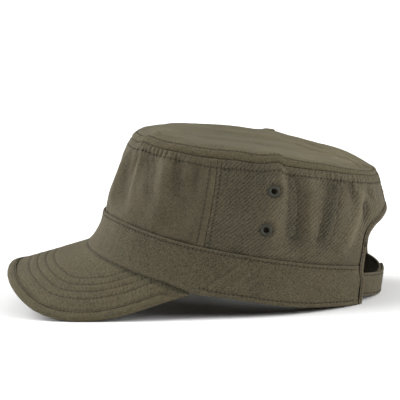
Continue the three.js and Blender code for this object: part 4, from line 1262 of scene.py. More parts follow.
def build_top():
    rings_q = list(spaced(9.0 - SEAT, [SEAM_ROW - SEAT, 0.0]) + SEAT) + list(np.arange(9.9, 24.0, 0.95))
    n0 = 544
    q24 = rings_q[-1]
    deg_rim = np.arange(n0) * 360.0 / n0 - 180.0
    full = np.interp(rim_radius(deg_rim), _prof[:, 0], _prof_q)
    verts_deg, verts_q, ids = [], [], []
    count = 0

    def add_ring(step, qs):
        nonlocal count
        d = deg_rim[::step]
        verts_deg.append(d)
        verts_q.append(np.broadcast_to(qs, d.shape).copy() if np.ndim(qs) == 0 else qs[::step])
        ids.append(np.arange(count, count + len(d)))
        count += len(d)

    for q in rings_q:
        add_ring(1, q)
    plan = [(2, 22, 0.42), (4, 14, 0.72), (8, 8, 0.90), (16, 3, 0.97)]
    start = 0.0
    for step, rows, end in plan:
        for r in range(1, rows + 1):
            g = lerp(start, end, r / rows)
            add_ring(step, lerp(q24, full, g))
        start = end
    faces = []
    for a, b in zip(ids[:-1], ids[1:]):
        na, nb = len(a), len(b)
        if na == nb:
            i = np.arange(na)
            faces.append(np.stack([a[i], a[(i + 1) % na], b[(i + 1) % na], b[i]], -1))
        else:
            i = np.arange(nb)
            a0, a1, a2 = a[2 * i], a[2 * i + 1], a[(2 * i + 2) % na]
            b0, b1 = b[i], b[(i + 1) % nb]
            none = np.full(nb, -1)
            faces += [np.stack([a0, a1, b0, none], -1), np.stack([a1, b1, b0, none], -1), np.stack([a1, a2, b1, none], -1)]
    deg, q = np.concatenate(verts_deg), np.concatenate(verts_q)
    last = ids[-1]
    p = top_base(deg, q)
    centre = p[last].mean(0)
    p = np.vstack([p, centre])
    i = np.arange(len(last))
    faces.append(np.stack([last[i], last[(i + 1) % len(last)], np.full(len(last), len(p) - 1), np.full(len(last), -1)], -1))
    faces = np.vstack(faces)
    relief, tone = top_relief(deg, q)
    relief, tone = np.r_[relief, relief[last].mean()], np.r_[tone, tone[last].mean()]
    cloth = p[:, :2].copy()
    # along the steep shoulder the cloth's own length is what counts
    k = np.r_[q, 0.0]
    inset = np.interp(k, _prof_q, _prof[:, 0])
    out = unit(np.c_[p[:, 0], p[:, 1] - _cy])
    cloth[:-1] += out[:-1] * (inset - k)[:-1, None]
    sew = np.stack([abs(np.r_[q, 60.0] - SEAM_ROW), np.r_[arc(deg) * 0.93, 0.0] / PITCH], -1)
    obj = shell("top_panel_cloth", p, faces, relief, CLOTH, relief_in=-0.5 * relief, edge=EDGE, cloth=cloth, tone=tone, sew=sew)
    return finish_piece(obj, TOPC, "top_cloth", "top_panel")


build_top()

# ---------------------------------------------------------------- band
_v = np.linspace(0, 1, 41)
_end = np.full(41, 150.0)
_lo, _hi = np.full(41, 110.0), np.full(41, 178.0)
BAND_END_X = ARCH_HALF + TAPE - 1.2 + 0.3
for _ in range(50):
    _end = 0.5 * (_lo + _hi)
    _x = wall(_end, _v)[:, 0]
    _lo, _hi = np.where(_x > BAND_END_X, _end, _lo), np.where(_x > BAND_END_X, _hi, _end)


def band_end(v):
    return np.interp(v, _v, _end)


_bs = np.linspace(-1, 1, 801)
_bp = wall(_bs * band_end(0.5), 0.5)
_barc = np.r_[0, np.cumsum(np.linalg.norm(np.diff(_bp, axis=0), axis=1))]
_barc -= _barc[400]
BAND_HALF = float(_barc[-1])


def band_height(deg):
    d = abs(wrap(deg))
    return band_top_z(d) - band_bottom_z(d)


# slanting wrinkles behind the peak's corners: angle, level, width, height
BAND_WRINKLES = [(90, 0.45, 7, 0.7), (98, 0.5, 7, 0.65), (84, 0.4, 6, 0.6), (-90, 0.45, 10, 0.8), (-102, 0.55, 8, 0.7)]


def band_push(u, v):
    """The band's end goes flush under the tape of the opening."""
    s = BAND_HALF * (1 - abs(u))
    z = wall(u * band_end(v), v)[..., 2]
    return -BAND_PROUD * smooth((z - 50) / 10) * (1 - smooth((s - 1.0) / 7.0))


def band_base(u, v, off=0.0):
    return wall(u * band_end(v), v, off + band_push(u, v))


def low_row(deg):
    """Height of the lower row over the band's bottom edge."""
    return BAND_LOW_ROW + 1.9 * (1 - smooth((abs(wrap(deg)) - CORNER - 1.0) / 13.0))


def band_relief(u, v):
    deg = u * band_end(v)
    s = np.interp(u, _bs, _barc)
    H = band_height(deg)
    dt, db = (1 - v) * H, v * H
    h, t = sewn(dt, BAND_TOP_ROW, s, 91, pucker=0.10, period=5.2, raise_by=0.14)
    back = smooth((abs(deg) - CORNER - 1.5) / 2.0)
    h2, t2 = sewn(db, low_row(deg), s, 97, pucker=0.16, period=5.0, raise_by=0.22)
    plain = 0.34 * bell(db - 2.3, 1.7) - 0.85 * bell(db, 0.75)
    h = h + lerp(plain, h2, back)
    # in front of the corners: painted light on the puffed bottom edge and painted shade along the line where it meets
    # the peak
    t = t + lerp(0.35 * bell(db - 1.9, 1.0) - 1.7 * bell(db, 0.62), t2, back)
    w = 0.26 * noise(s / 13, db / 19, 101) + 0.15 * noise(s / 5.5, db / 8, 102) + 0.05 * noise(s / 2.5, db / 3.0, 103)
    slant = 0.0
    for angle, level, width, height in BAND_WRINKLES:
        win = bell(deg - angle, width) * bell(v - level, 0.42)
        ss = s - 0.85 * db * np.sign(deg)
        slant = slant + height * win * (noise(ss / 3.4, db / 30, 110 + int(angle) % 7) + 0.4 * noise(ss / 1.9, db / 20, 105))
    mid = smooth(dt / 4) * smooth(db / 3)
    # tone: painted light and shade on the wrinkles
    return h + (w + slant * 1.15) * (0.3 + 0.7 * mid), t + 1.0 * w + 1.5 * slant


def tape_inner(u, W):
    """Distance from the peak's edge to the tape's inner border."""
    side = np.minimum(u, 1 - u)
    a = np.maximum(0.25 * (1 - smooth(side / 0.04)), 1 - W / across(u))
    return (1 - a) * across(u)


def peak_relief(u, d, top=True):
    s = u * PEAK_LENGTH
    h = 0.0 * d
    t = 0.0 * d
    # stitch rows: grooves in the relief, with painted shade in them
    for row in PEAK_ROWS:
        hole = 0.72 + 0.28 * np.cos(2 * np.pi * s / PITCH)
        g = bell(d - row, 0.75)
        h = h - 0.17 * g * hole
        t = t - 0.06 * g
    first = PEAK_ROWS[0]
    between = np.cos(np.pi * (d - first) / 6.0) ** 2
    h = h - 0.13 * between * (d > first - 3) * (d < PEAK_ROWS[-1] + 3)
    roll = bell(d - PEAK_BINDING, 1.1)
    h = h - 0.12 * roll
    # painted shade in the fold beside the binding
    t = t - 0.45 * bell(d - PEAK_BINDING, 0.8)
    # lies close to the band where it comes out from under it
    h = h + 0.30 * (1 - smooth((across(u) - d) / 5.0)) * (1.0 if top else 0.0)
    x, y = s, d
    seed = 121 if top else 141
    w = 0.17 * noise(x / 21, y / 16, seed) + 0.03 * noise(x / 7.5, y / 5.5, seed + 1)
    # tone: painted light and shade on the soft waves
    return h + w, t + 1.2 * w


def peak_top(u, d, sgn=1.0):
    q = 1 - d / across(u)
    p = peak_point(u, q, sgn * peak_half(u))
    return p + sgn * peak_normal(u, q) * peak_relief(u, d, sgn > 0)[0][..., None]


_du, _dd = np.meshgrid(np.linspace(0.0, 1.0, 1001), np.linspace(-7.0, 9.0, 81), indexing="ij")
_dd = across(_du) + _dd
_dp = peak_top(_du, _dd).reshape(-1, 3)
_dn = peak_normal(_du, 1 - _dd / across(_du)).reshape(-1, 3)


def peak_over(p):
    """Height of the peak's top face at the points' (x, y)."""
    z = np.zeros(len(p))
    for i, q in enumerate(p):
        k = ((_dp[:, 0] - q[0]) ** 2 + (_dp[:, 1] - q[1]) ** 2).argmin()
        d = np.clip(q[:2] - _dp[k, :2], -0.4, 0.4)
        z[i] = _dp[k, 2] - (d * _dn[k, :2]).sum() / max(_dn[k, 2], 0.35)
    return z


_drop_deg = np.linspace(-CORNER, CORNER, 205)
_drops = {}
for _off in (0.0, -BAND_THICK):
    _d = []
    for _more in ((-0.1, -0.5, -0.9) if _off == 0.0 else (0.4, 0.0)):
        _q = wall(_drop_deg, 0.0, _off + _more)
        _d.append(peak_over(_q) - _q[:, 2])
    _d = np.clip(np.max(_d, 0) + 0.10, -1.6, 3.2)
    # without single jumps
    _d = np.median([np.roll(_d, _k) for _k in range(-4, 5)], 0)
    _d = np.convolve(np.pad(_d, 4, mode="edge"), np.ones(9) / 9, "valid")
    _drops[_off] = _d


def band_drop(deg, off):
    """How far the band's edge is moved to meet the peak."""
    d = wrap(deg)
    near = 1 - smooth((abs(d) - CORNER) / 3.0)
    return np.interp(d, _drop_deg, _drops[off]) * near


def build_band():
    H = 25.0
    s = np.linspace(-BAND_HALF, BAND_HALF, int(2 * BAND_HALF / 0.86))
    u = np.interp(s, _barc, _bs)
    rows = spaced(H - 2 * SEAT, [BAND_LOW_ROW - SEAT, BAND_LOW_ROW + 1.2 - SEAT, H - BAND_TOP_ROW - SEAT, 0.0, H - 2 * SEAT], fine=0.34) + SEAT
    v = rows / H
    U, V = np.meshgrid(u, v, indexing="ij")
    relief, tone = band_relief(U, V)
    face = band_base(U, V)
    dg = U * band_end(V)
    HH = band_height(dg)
    behind = smooth((abs(dg) - CORNER - 1.5) / 2.0)
    low = np.where(behind > 0.3, abs(V * HH - low_row(dg)), 9.0)
    sew = nearest_row([(abs((1 - V) * HH - BAND_TOP_ROW), np.repeat(s[:, None], len(v), 1)), (low, np.repeat(s[:, None], len(v), 1))])
    # the lowest part reaches down on to the peak
    face[..., 2] += band_drop(dg, 0.0) * (1 - smooth(V * HH / 5.0))
    # rounded rear corners
    to_end = BAND_HALF + 3.0 - abs(np.repeat(s[:, None], len(v), 1))
    lift = 1.7 * (1 - smooth(to_end / 5.0)) ** 2
    face[..., 2] += lift * (1 - smooth(V * HH / 8.0))
    e = 1e-3
    n = unit(np.cross(band_base(U + e, V) - band_base(U - e, V), band_base(U, V + e) - band_base(U, V - e)))
    n = n * np.sign((n * (face - np.array([0, 15, 45]))).sum(-1, keepdims=True))
    outer = face + n * relief[..., None]
    # lip: over the folded top edge and down behind it
    top = face[:, -1]
    nt = unit(n[:, -1] * np.array([1, 1, 0]))
    lips = []
    for a in np.radians([35, 70, 105, 140, 175]):
        lips.append(outer[:, -1] - nt * (0.58 * (1 - math.cos(a))) + np.array([0, 0, 1]) * 0.55 * math.sin(a))
    drop = outer[:, -1] - nt * 1.17
    lips += [drop - np.array([0, 0, 0.55]), drop - np.array([0, 0, 1.15]), drop - np.array([0, 0, 1.7])]
    outer = np.concatenate([outer, np.stack(lips, 1)], 1)
    nr = outer.shape[1]
    # inner face, from the bottom to the shelf that the crown stands on
    vi = np.linspace(SEAT / H, 1 - 1.75 / H, nr)
    Ui, Vi = np.meshgrid(u, vi, indexing="ij")
    inner = band_base(Ui, Vi, -BAND_THICK)
    inner[..., 2] += lift[:, :1] * (1 - smooth(Vi * H / 8.0))
    inner[..., 2] += band_drop(Ui * band_end(Vi), -BAND_THICK) * (1 - smooth(Vi * H / 5.0))
    ri, _ = band_relief(Ui, Vi)
    inner = inner - n[:, [0]] * (0.4 * ri[..., None])
    S = np.repeat(s[:, None], nr, 1)
    T = np.concatenate([np.repeat(rows[None], len(u), 0), np.repeat((H + np.arange(1, 9) * 0.4)[None], len(u), 0)], 1)
    # the lip: painted light over the folded top edge, painted shade down behind it
    tone = np.concatenate([tone, np.repeat(np.array([[0.35, 0.4, 0.1, -0.3, -0.7, -1, -1, -1]]), len(u), 0)], 1)
    obj = shell("band_cloth", outer.reshape(-1, 3), grid_faces(len(u), nr), 0.0, inner=inner.reshape(-1, 3), edge=0.35,
                cloth=np.stack([S, T], -1).reshape(-1, 2), tone=tone.ravel(),
                sew=np.concatenate([sew, np.tile([9.0, 0.0], (len(u), nr - len(v), 1))], 1).reshape(-1, 2))
    return finish_piece(obj, BANDC, "band_cloth", "band")


def band_outer(u, v):
    e = 1e-3
    face = band_base(u, v)
    n = unit(np.cross(band_base(u + e, v) - band_base(u - e, v), band_base(u, v + e) - band_base(u, v - e)))
    n = n * np.sign((n * (face - np.array([0, 15, 45]))).sum(-1, keepdims=True))
    face[..., 2] += band_drop(u * band_end(v), 0.0) * (1 - smooth(v * band_height(u * band_end(v)) / 5.0))
    return face + n * band_relief(u, v)[0][..., None]


build_band()


# ---------------------------------------------------------------- peak
def off_band(p):
    """Distance outside the band's lower edge, seen from above."""
    b = LEVELS["band_bottom"]
    f = ((abs(p[..., 0]) / b[0]) ** POWER + (abs(p[..., 1] - b[2]) / b[1]) ** POWER) ** (1 / POWER)
    return np.hypot(p[..., 0], p[..., 1] - b[2]) * (f - 1) / f


def peak_under(u):
    """How far past its root line the peak goes on under the band."""
    A = across(u)
    ext = np.full_like(u, 9.0)
    for e in np.arange(9.0, 0.5, -0.15):
        p = peak_point(u, -e / A, peak_half(u))
        ext = np.where(off_band(p) < -1.7, e, ext)
    k = np.ones(9) / 9
    return np.convolve(np.pad(ext, 4, mode="edge"), k, "valid")


def build_peak():
    u0 = 0.008
    cols = int(PEAK_LENGTH * (1 - 2 * u0) / 0.85)
    u = np.linspace(u0, 1 - u0, cols)
    A = across(u)
    d0 = np.minimum(PEAK_BINDING - 1.2, 0.8 * tape_inner(u, 6.5))[:, None]
    rows = spaced(58.0, [], coarse=0.66)
    f = rows / rows[-1]
    U = np.repeat(u[:, None], len(f), 1)
    Dm = lerp(d0, (A + peak_under(u))[:, None], f[None, :])
    Q = 1 - Dm / A[:, None]
    h = peak_half(U)
    rt, tt = peak_relief(U, Dm, True)
    rb, tb = peak_relief(U, Dm, False)
    calm = smooth((np.minimum(U, 1 - U) - 0.015) / 0.05)
    rt, rb = rt * calm, rb * calm
    top = peak_point(U, Q, h)
    low = peak_point(U, Q, -h)
    n = peak_normal(U, Q)
    top = top + n * rt[..., None]
    low = low - n * rb[..., None]
    # painted shade on the peak along and under the band's lower edge
    tt = tt - 1.35 * (1 - smooth((off_band(top) + 0.2) / 1.8))
    nu, nv = U.shape
    faces = grid_faces(nu, nv)
    base = top.reshape(-1, 3)
    if vertex_normals(base, faces)[:, 2].mean() < 0:
        faces = faces[:, [0, 3, 2, 1]]
    cloth = np.stack([top[..., 0], top[..., 1] * 1.05], -1).reshape(-1, 2)
    along = U * PEAK_LENGTH
    sew = nearest_row([(abs(Dm - row), along) for row in PEAK_ROWS])
    obj = shell("peak_cloth", base, faces, 0.0, inner=low.reshape(-1, 3), edge=0.3, cloth=cloth, tone=tt.ravel(), sew=sew.reshape(-1, 2))
    return finish_piece(obj, PEAKC, "peak_cloth", "peak")


build_peak()


def tape_section(W, H, h, D, r, rows=11):
    """Outer path round a folded tape and the slot path inside it, matching
    rows: q from the folded edge, m across the thickness."""
    k = np.linspace(0, 1, rows)
    top = [(lerp(W, r, t), H) for t in k]
    nose = [(r - r * math.sin(a), H * math.cos(a)) for a in np.linspace(0, math.pi, 15)[1:-1]]
    bottom = [(lerp(r, W, t), -H) for t in k]
    outer = np.array(top + nose + bottom)
    n = len(outer)
    half = n // 2
    slot_top = [(lerp(W, W - D, t), h) for t in np.linspace(0, 1, half)]
    mid = [(W - D, 0.0)] if n % 2 else []
    slot_low = [(lerp(W - D, W, t), -h) for t in np.linspace(0, 1, half)]
    return outer, np.array(slot_top + mid + slot_low)


def build_peak_binding():
    cols = int(PEAK_LENGTH * 0.99 / 0.9)
    u = np.linspace(0.005, 0.995, cols)
    W = tape_inner(u, 6.5)
    side = np.minimum(u, 1 - u)
    H = peak_half(u) + PEAK_PROUD * smooth((side - 0.03) / 0.05) + 0.12
    A = across(u)
    r = np.minimum(1.7, 0.3 * W)
    D = np.minimum(1.15, 0.3 * W)
    ref, _ = tape_section(6.5, 1, 0.8, 1.15, 1.7)
    n = len(ref)
    half = n // 2
    outer = np.zeros((cols, n, 2))
    slot = np.zeros((cols, n, 2))
    for i in range(cols):
        outer[i], slot[i] = tape_section(W[i], H[i], min(float(peak_half(u[i])) + 0.1, H[i] - 0.1), D[i], r[i])
    s = u * PEAK_LENGTH
    S = np.repeat(s[:, None], n, 1)
    U = np.repeat(u[:, None], n, 1)
    # relief on the tape: its own stitch row, soft waves, thicker near the fold
    q, m = outer[..., 0], outer[..., 1]
    face = np.sign(m) * (q > 1.0)
    row = W[:, None] - 0.9
    hole = 0.72 + 0.28 * np.cos(2 * np.pi * S / PITCH)
    groove = bell(q - row, 0.5) * hole
    lie = smooth((q - 0.2) / 2.0) * smooth((W[:, None] - q + 0.6) / 2.5)
    sel = np.where(m >= 0, 0, 7)
    wv = 0.20 * noise(S / 9.0, q / 9.0 + sel, 151) + 0.10 * noise(S / 3.6, q / 4.0 + sel, 152)
    calm = smooth((side - 0.01) / 0.05)[:, None]
    relief = (-0.26 * groove * face * face + wv * 0.8 + 0.22 * lie * bell(q - 3.2, 1.8)) * calm
    # tone: painted shade in the stitch groove and at the inner edge, painted light on the folded edge, painted light
    # and shade on the waves
    tone = -0.3 * groove + 1.1 * wv - 0.5 * bell(q - W[:, None], 0.5) + 0.5 * bell(q, 0.9)
    sew = np.stack([abs(q - row) + 0 * S, S / PITCH], -1).reshape(-1, 2)
    po = peak_point(U, 1 - outer[..., 0] / A[:, None], outer[..., 1])
    ps = peak_point(U, 1 - slot[..., 0] / A[:, None], slot[..., 1])
    faces = grid_faces(cols, n)
    base = po.reshape(-1, 3)
    nn = vertex_normals(base, faces)
    centre = peak_point(u, 1 - 3.0 / A, 0.0)
    if (nn.reshape(cols, n, 3) * (po - centre[:, None])).sum() < 0:
        faces = faces[:, [0, 3, 2, 1]]
    path = np.r_[0, np.cumsum(np.linalg.norm(np.diff(ref * [1, 1.9], axis=0), axis=1))]
    cloth = np.stack([S, np.repeat(path[None], cols, 0)], -1).reshape(-1, 2)
    obj = shell("peak_binding_cloth", base, faces, relief.ravel(), inner=ps.reshape(-1, 3), edge=0.18, cloth=cloth, tone=tone.ravel(), sew=sew)
    return finish_piece(obj, PEAKC, "peak_cloth", "peak_binding")


build_peak_binding()


# ---------------------------------------------------------------- tape of the back opening
def arch_frames(n=420):
    path = arch_curve(0.0, 36.3, 1200)
    run = np.r_[0, np.cumsum(np.linalg.norm(np.diff(path, axis=0), axis=1))]
    s = np.linspace(0, run[-1], n)
    x, z = np.interp(s, run, path[:, 0]), np.interp(s, run, path[:, 1])
    k = smooth((z - 50) / 10)
    off = np.where(z <= 60.5, -BAND_PROUD * k, 0.0)
    p, flat = back_wall(x, z, off)
    # the wall leans in above the opening, so its own slope is taken there
    up = unit(back_wall(x, z + 1.2, off)[0] - back_wall(x, z - 1.2, off)[0])
    lean = np.where((abs(z - 60.5) < 1.4)[:, None], np.array([0.0, 0.0, 1.0]), up)
    across_wall = unit(back_wall(x + 1.0, z, off)[0] - back_wall(x - 1.0, z, off)[0])
    nrm = unit(np.cross(across_wall, lean))
    nrm = nrm * np.sign((nrm * flat).sum(1, keepdims=True))
    for _ in range(10):
        nrm[1:-1] = 0.25 * nrm[:-2] + 0.5 * nrm[1:-1] + 0.25 * nrm[2:]
    nrm = unit(nrm)
    # even out the step between the band's and the crown's surfaces
    for _ in range(6):
        p[1:-1] = 0.25 * p[:-2] + 0.5 * p[1:-1] + 0.25 * p[2:]
    t = unit(np.gradient(p, axis=0))
    side = unit(np.cross(t, nrm))
    nn = unit(np.cross(side, t))
    nn = nn * np.sign((nn * nrm).sum(1, keepdims=True))
    thick = lerp(BAND_THICK, CLOTH, k)
    # outwards over the cloth: away from the opening's middle
    away = np.stack([p[:, 0], 0 * p[:, 0], p[:, 2] - 45.0], -1)
    side = side * np.sign((side * away).sum(1, keepdims=True))
    return s, p, side, nn, thick


ARCH_S, ARCH_P, ARCH_SIDE, ARCH_N, ARCH_THICK = arch_frames()
ARCH_UP = 0.55


def arch_point(i, q, m):
    """Point of the tape: q from the folded edge, m out of the cloth's outer face."""
    idx = np.asarray(i, float)
    k = np.arange(len(ARCH_S))

    def at(a):
        return np.stack([np.interp(idx, k, a[:, c]) for c in range(3)], -1)

    q, m = np.asarray(q, float), np.asarray(m, float)
    return at(ARCH_P) + at(ARCH_SIDE) * q[..., None] + at(ARCH_N) * m[..., None]


def build_opening_binding():
    n = len(ARCH_S)
    ref, _ = tape_section(TAPE, 1, 0.8, 1.15, 1.3)
    rows = len(ref)
    outer, slot = np.zeros((n, rows, 2)), np.zeros((n, rows, 2))
    for i in range(n):
        h = 0.5 * ARCH_THICK[i]
        o, sl = tape_section(TAPE, h + ARCH_UP, h + 0.12, 1.15, 1.3)
        o[:, 1] -= h
        sl[:, 1] -= h
        outer[i], slot[i] = o, sl
    I = np.repeat(np.arange(n, dtype=float)[:, None], rows, 1)
    S = np.repeat(ARCH_S[:, None], rows, 1)
    q, m = outer[..., 0], outer[..., 1] + 0.5 * ARCH_THICK[:, None]
    hole = 0.72 + 0.28 * np.cos(2 * np.pi * S / PITCH)
    groove = bell(q - 3.4, 0.5) * hole * (abs(m) > 0.5)
    sel = np.where(m >= 0, 0, 7)
    wv = 0.16 * noise(S / 8.0, q / 6.0 + sel, 161) + 0.09 * noise(S / 3.2, q / 4.0 + sel, 162)
    relief = -0.24 * groove + wv
    # tone: painted shade in the stitch groove and at the inner edge, painted light on the folded edge, painted light
    # and shade on the waves
    tone = -0.3 * groove + 1.2 * wv - 0.4 * bell(q - TAPE, 0.4) + 0.4 * bell(q, 0.8)
    sew = np.stack([abs(q - 3.4), S / PITCH], -1).reshape(-1, 2)
    po = arch_point(I, outer[..., 0], outer[..., 1])
    ps = arch_point(I, slot[..., 0], slot[..., 1])
    faces = grid_faces(n, rows)
    base = po.reshape(-1, 3)
    nn = vertex_normals(base, faces)
    centre = ARCH_P + ARCH_SIDE * 2.2 - ARCH_N * (0.5 * ARCH_THICK)[:, None]
    if (nn.reshape(n, rows, 3) * (po - centre[:, None])).sum() < 0:
        faces = faces[:, [0, 3, 2, 1]]
    path = np.r_[0, np.cumsum(np.linalg.norm(np.diff(ref * [1, 1.3], axis=0), axis=1))]
    cloth = np.stack([S, np.repeat(path[None], n, 0)], -1).reshape(-1, 2)
    obj = shell("opening_binding_cloth", base, faces, relief.ravel(), inner=ps.reshape(-1, 3), edge=0.18, cloth=cloth, tone=tone.ravel(), sew=sew)
    return finish_piece(obj, TAPEC, "crown_cloth", "opening_binding")


build_opening_binding()


# ---------------------------------------------------------------- straps
def outer_strap_off(x):
    return lerp(-1.2, -3.3, smooth((x - 6) / 38))


def under_strap_off(x):
    return np.minimum(-3.3, outer_strap_off(-x) - STRAP_THICK - GAP)


def strap_mid(x):
    return lerp(46.2, 47.6, smooth(abs(x) / 48))


def strap_grid(side, end_x, off_at):
    length = 60.0 - end_x
    s = np.linspace(0, length, int(length / 0.85))
    w = spaced(STRAP_WIDTH - 0.8, [1.2, STRAP_WIDTH - 2.0], fine=0.34, coarse=0.9) - 0.5 * (STRAP_WIDTH - 0.8)
    X, W = np.meshgrid(s, w, indexing="ij")
    # the free end has rounded corners
    cut = 2.4 * smooth((abs(W) - 4.6) / 2.8) ** 2
    X = X * (1 - cut / length)
    x = side * (60.0 - X)
    z = strap_mid(x) + W
    off = off_at(side * x)
    p, n = back_wall(x, z, off)
    p[..., 2] = z
    return x, W, X, p, n


def build_strap(name, node, side, end_x, off_at, seed):
    x, W, S, p, n = strap_grid(side, end_x, off_at)
    row = 0.5 * STRAP_WIDTH - 1.7
    hole = 0.72 + 0.28 * np.cos(2 * np.pi * S / PITCH)
    g = bell(abs(W) - row, 0.5) * hole
    wv = 0.17 * noise(S / 9.0, W / 7.0, seed) + 0.08 * noise(S / 3.4, W / 3.4, seed + 1)
    puff = 0.16 * smooth((row - abs(W)) / 2.5) + 0.14 * bell(abs(W) - 0.5 * STRAP_WIDTH + 0.9, 0.7)
    relief = -0.24 * g + wv + puff
    # tone: painted shade in the stitch grooves, painted light and shade on the waves, painted light along the rolled
    # edges
    tone = -0.3 * g + 1.1 * wv + 0.35 * bell(abs(W) - 0.5 * STRAP_WIDTH + 0.4, 0.6)
    sew = np.stack([abs(abs(W) - row), S / PITCH], -1).reshape(-1, 2)
    nu, nv = W.shape
    faces = grid_faces(nu, nv)
    base = p.reshape(-1, 3)
    if (vertex_normals(base, faces) * n.reshape(-1, 3)).sum() < 0:
        faces = faces[:, [0, 3, 2, 1]]
    inner = (p - n * STRAP_THICK).reshape(-1, 3)
    cloth = np.stack([S, W], -1).reshape(-1, 2)
    obj = shell(name, base, faces, relief.ravel(), inner=inner, relief_in=-0.6 * relief.ravel(), edge=0.38, cloth=cloth, tone=tone.ravel(), sew=sew)
    return finish_piece(obj, STRAPC, "strap_cloth", node)


build_strap("strap_left_cloth", "strap_left", 1, -20.0, outer_strap_off, 171)
build_strap("strap_right_cloth", "strap_right", -1, -18.0, under_strap_off, 181)


# ---------------------------------------------------------------- eyelets
def build_eyelet(label, name):
    f = EYE_FRAMES[(label, name)]
    seat = f["seat"]
    # radius, height over the cloth, wear
    profile = [
        (1.78, -3.1, 0), (1.75, -1.6, 0), (1.77, -0.35, 0), (1.84, 0.05, 0.3), (2.03, 0.38, 0.8), (2.36, 0.6, 1.0),
        (2.8, 0.68, 0.9), (3.05, 0.64, 0.5), (3.3, 0.54, 0.3), (3.55, 0.4, 0.3), (3.76, 0.26, 0.5), (3.9, 0.1, 0.6),
        (3.92, -0.02, 0.2), (3.85, -0.12, 0), (3.4, -0.14, 0), (2.8, -0.14, 0), (2.75, -0.4, 0), (2.75, -1.5, 0),
        (2.8, -CLOTH - 0.15, 0), (3.2, -CLOTH - 0.15, 0), (3.62, -CLOTH - 0.18, 0), (3.7, -CLOTH - 0.35, 0.2),
        (3.6, -CLOTH - 0.6, 0.4), (3.2, -CLOTH - 0.82, 0.5), (2.8, -CLOTH - 1.1, 0.3), (2.4, -CLOTH - 1.42, 0.1),
    ]
    n = 64
    z = f["n"]
    x = unit(np.cross(z, [0, 0, 1.0]))
    y = np.cross(z, x)
    a = np.arange(n) * 2 * np.pi / n
    ring = np.cos(a)[:, None] * x + np.sin(a)[:, None] * y
    pr = np.array(profile)
    v = f["c"] + ring[:, None, :] * pr[None, :, :1] + z * (seat + pr[:, 1])[None, :, None]
    m = len(pr)
    i, j = np.meshgrid(np.arange(n), np.arange(m), indexing="ij")
    a0 = (i * m + j).ravel()
    b0 = (((i + 1) % n) * m + j).ravel()
    c0 = (((i + 1) % n) * m + (j + 1) % m).ravel()
    d0 = (i * m + (j + 1) % m).ravel()
    faces = np.stack([a0, b0, c0, d0], -1)
    p = v.reshape(-1, 3)
    vol = (np.cross(p[faces[:, 0]], p[faces[:, 1]]) * p[faces[:, 2]]).sum() + (np.cross(p[faces[:, 0]], p[faces[:, 2]]) * p[faces[:, 3]]).sum()
    if vol < 0:
        faces = faces[:, [0, 3, 2, 1]]
    tone = np.repeat(pr[None, :, 2], n, 0).ravel()
    cloth = np.stack([np.repeat(a[:, None], m, 1) * 3.0, np.repeat(pr[None, :, 0] + pr[None, :, 1], n, 0)], -1).reshape(-1, 2)
    obj = new_object(f"eyelet_{label}_{name}_metal", place(p), faces, cloth, tone)
    return finish_piece(obj, METAL, "eyelet_metal", f"eyelet_{label}_{name}")


for _label in ("left", "right"):
    for _name, _, _ in EYELETS:
        build_eyelet(_label, _name)

# ---------------------------------------------------------------- sewing
crown_thread = Threads(1)


def rows_on(threads, point, a, b, eps, sign_from, along):
    p, n = surface_row(point, a, b, eps)
    ref = p - sign_from
    n = n * np.sign((n * ref).sum(-1, keepdims=True))
    threads.row(p, n, along)


MIDDLE = np.array([0.0, 15.0, 45.0])
# crown seam, lower row on the wall and upper row on the top panel
for s0, s1 in ((-ARC_BACK + 0.8, -ARC_SEAM - 0.8), (-ARC_SEAM + 0.8, ARC_SEAM - 0.8), (ARC_SEAM + 0.8, ARC_BACK - 0.8)):
    s = np.linspace(s0, s1, int((s1 - s0) / 0.6))
    deg = arc_to_deg(s)
    rows_on(crown_thread, crown_outer, deg, 2 - seam_row(s) / crown_length(deg), (0.05, 0.002), MIDDLE, s)
deg = np.linspace(-180, 179.6, 900)
rows_on(crown_thread, top_outer, deg, np.full_like(deg, SEAM_ROW), (0.05, 0.05), MIDDLE, arc(deg) * 0.93)
# upright seams
for sgn in (-1, 1):
    for off in (-SIDE_ROW, SIDE_ROW_BACK):
        d = float(arc_to_deg(sgn * (ARC_SEAM + off)))
        L = float(crown_length(d))
        v = np.linspace(1 + 1.0 / L, 2 - 1.0 / L, 120)
        rows_on(crown_thread, crown_outer, np.full_like(v, d), v, (0.05, 0.002), MIDDLE, (2 - v) * L)
    d = float(arc_to_deg(sgn * (ARC_BACK - SIDE_ROW)))
    dd, vv = back_solve(wall(d, 1.6)[0], ARCH_APEX + TAPE + 1.0, 0.0)
    v = np.linspace(float(vv), 2 - 1.0 / float(crown_length(d)), 60)
    rows_on(crown_thread, crown_outer, np.full_like(v, d), v, (0.05, 0.002), MIDDLE, (2 - v) * float(crown_length(d)))
finish_piece(crown_thread.build("stitches_crown"), THREAD, "crown_cloth")

band_thread = Threads(2)
u = np.linspace(-1 + 3.0 / BAND_HALF, 1 - 3.0 / BAND_HALF, 1200)
dg = u * band_end(0.9)
rows_on(band_thread, band_outer, u, 1 - BAND_TOP_ROW / band_height(dg), (1e-3, 1e-3), MIDDLE, np.interp(u, _bs, _barc))
for sgn in (-1, 1):
    u = np.linspace(CORNER + 3.0, float(band_end(0.13)) - 1.9, 420) / band_end(0.13) * sgn
    dg = u * band_end(0.13)
    rows_on(band_thread, band_outer, u, low_row(dg) / band_height(dg), (1e-3, 1e-3), MIDDLE, np.interp(u, _bs, _barc))
finish_piece(band_thread.build("stitches_band"), THREAD, "band_cloth")

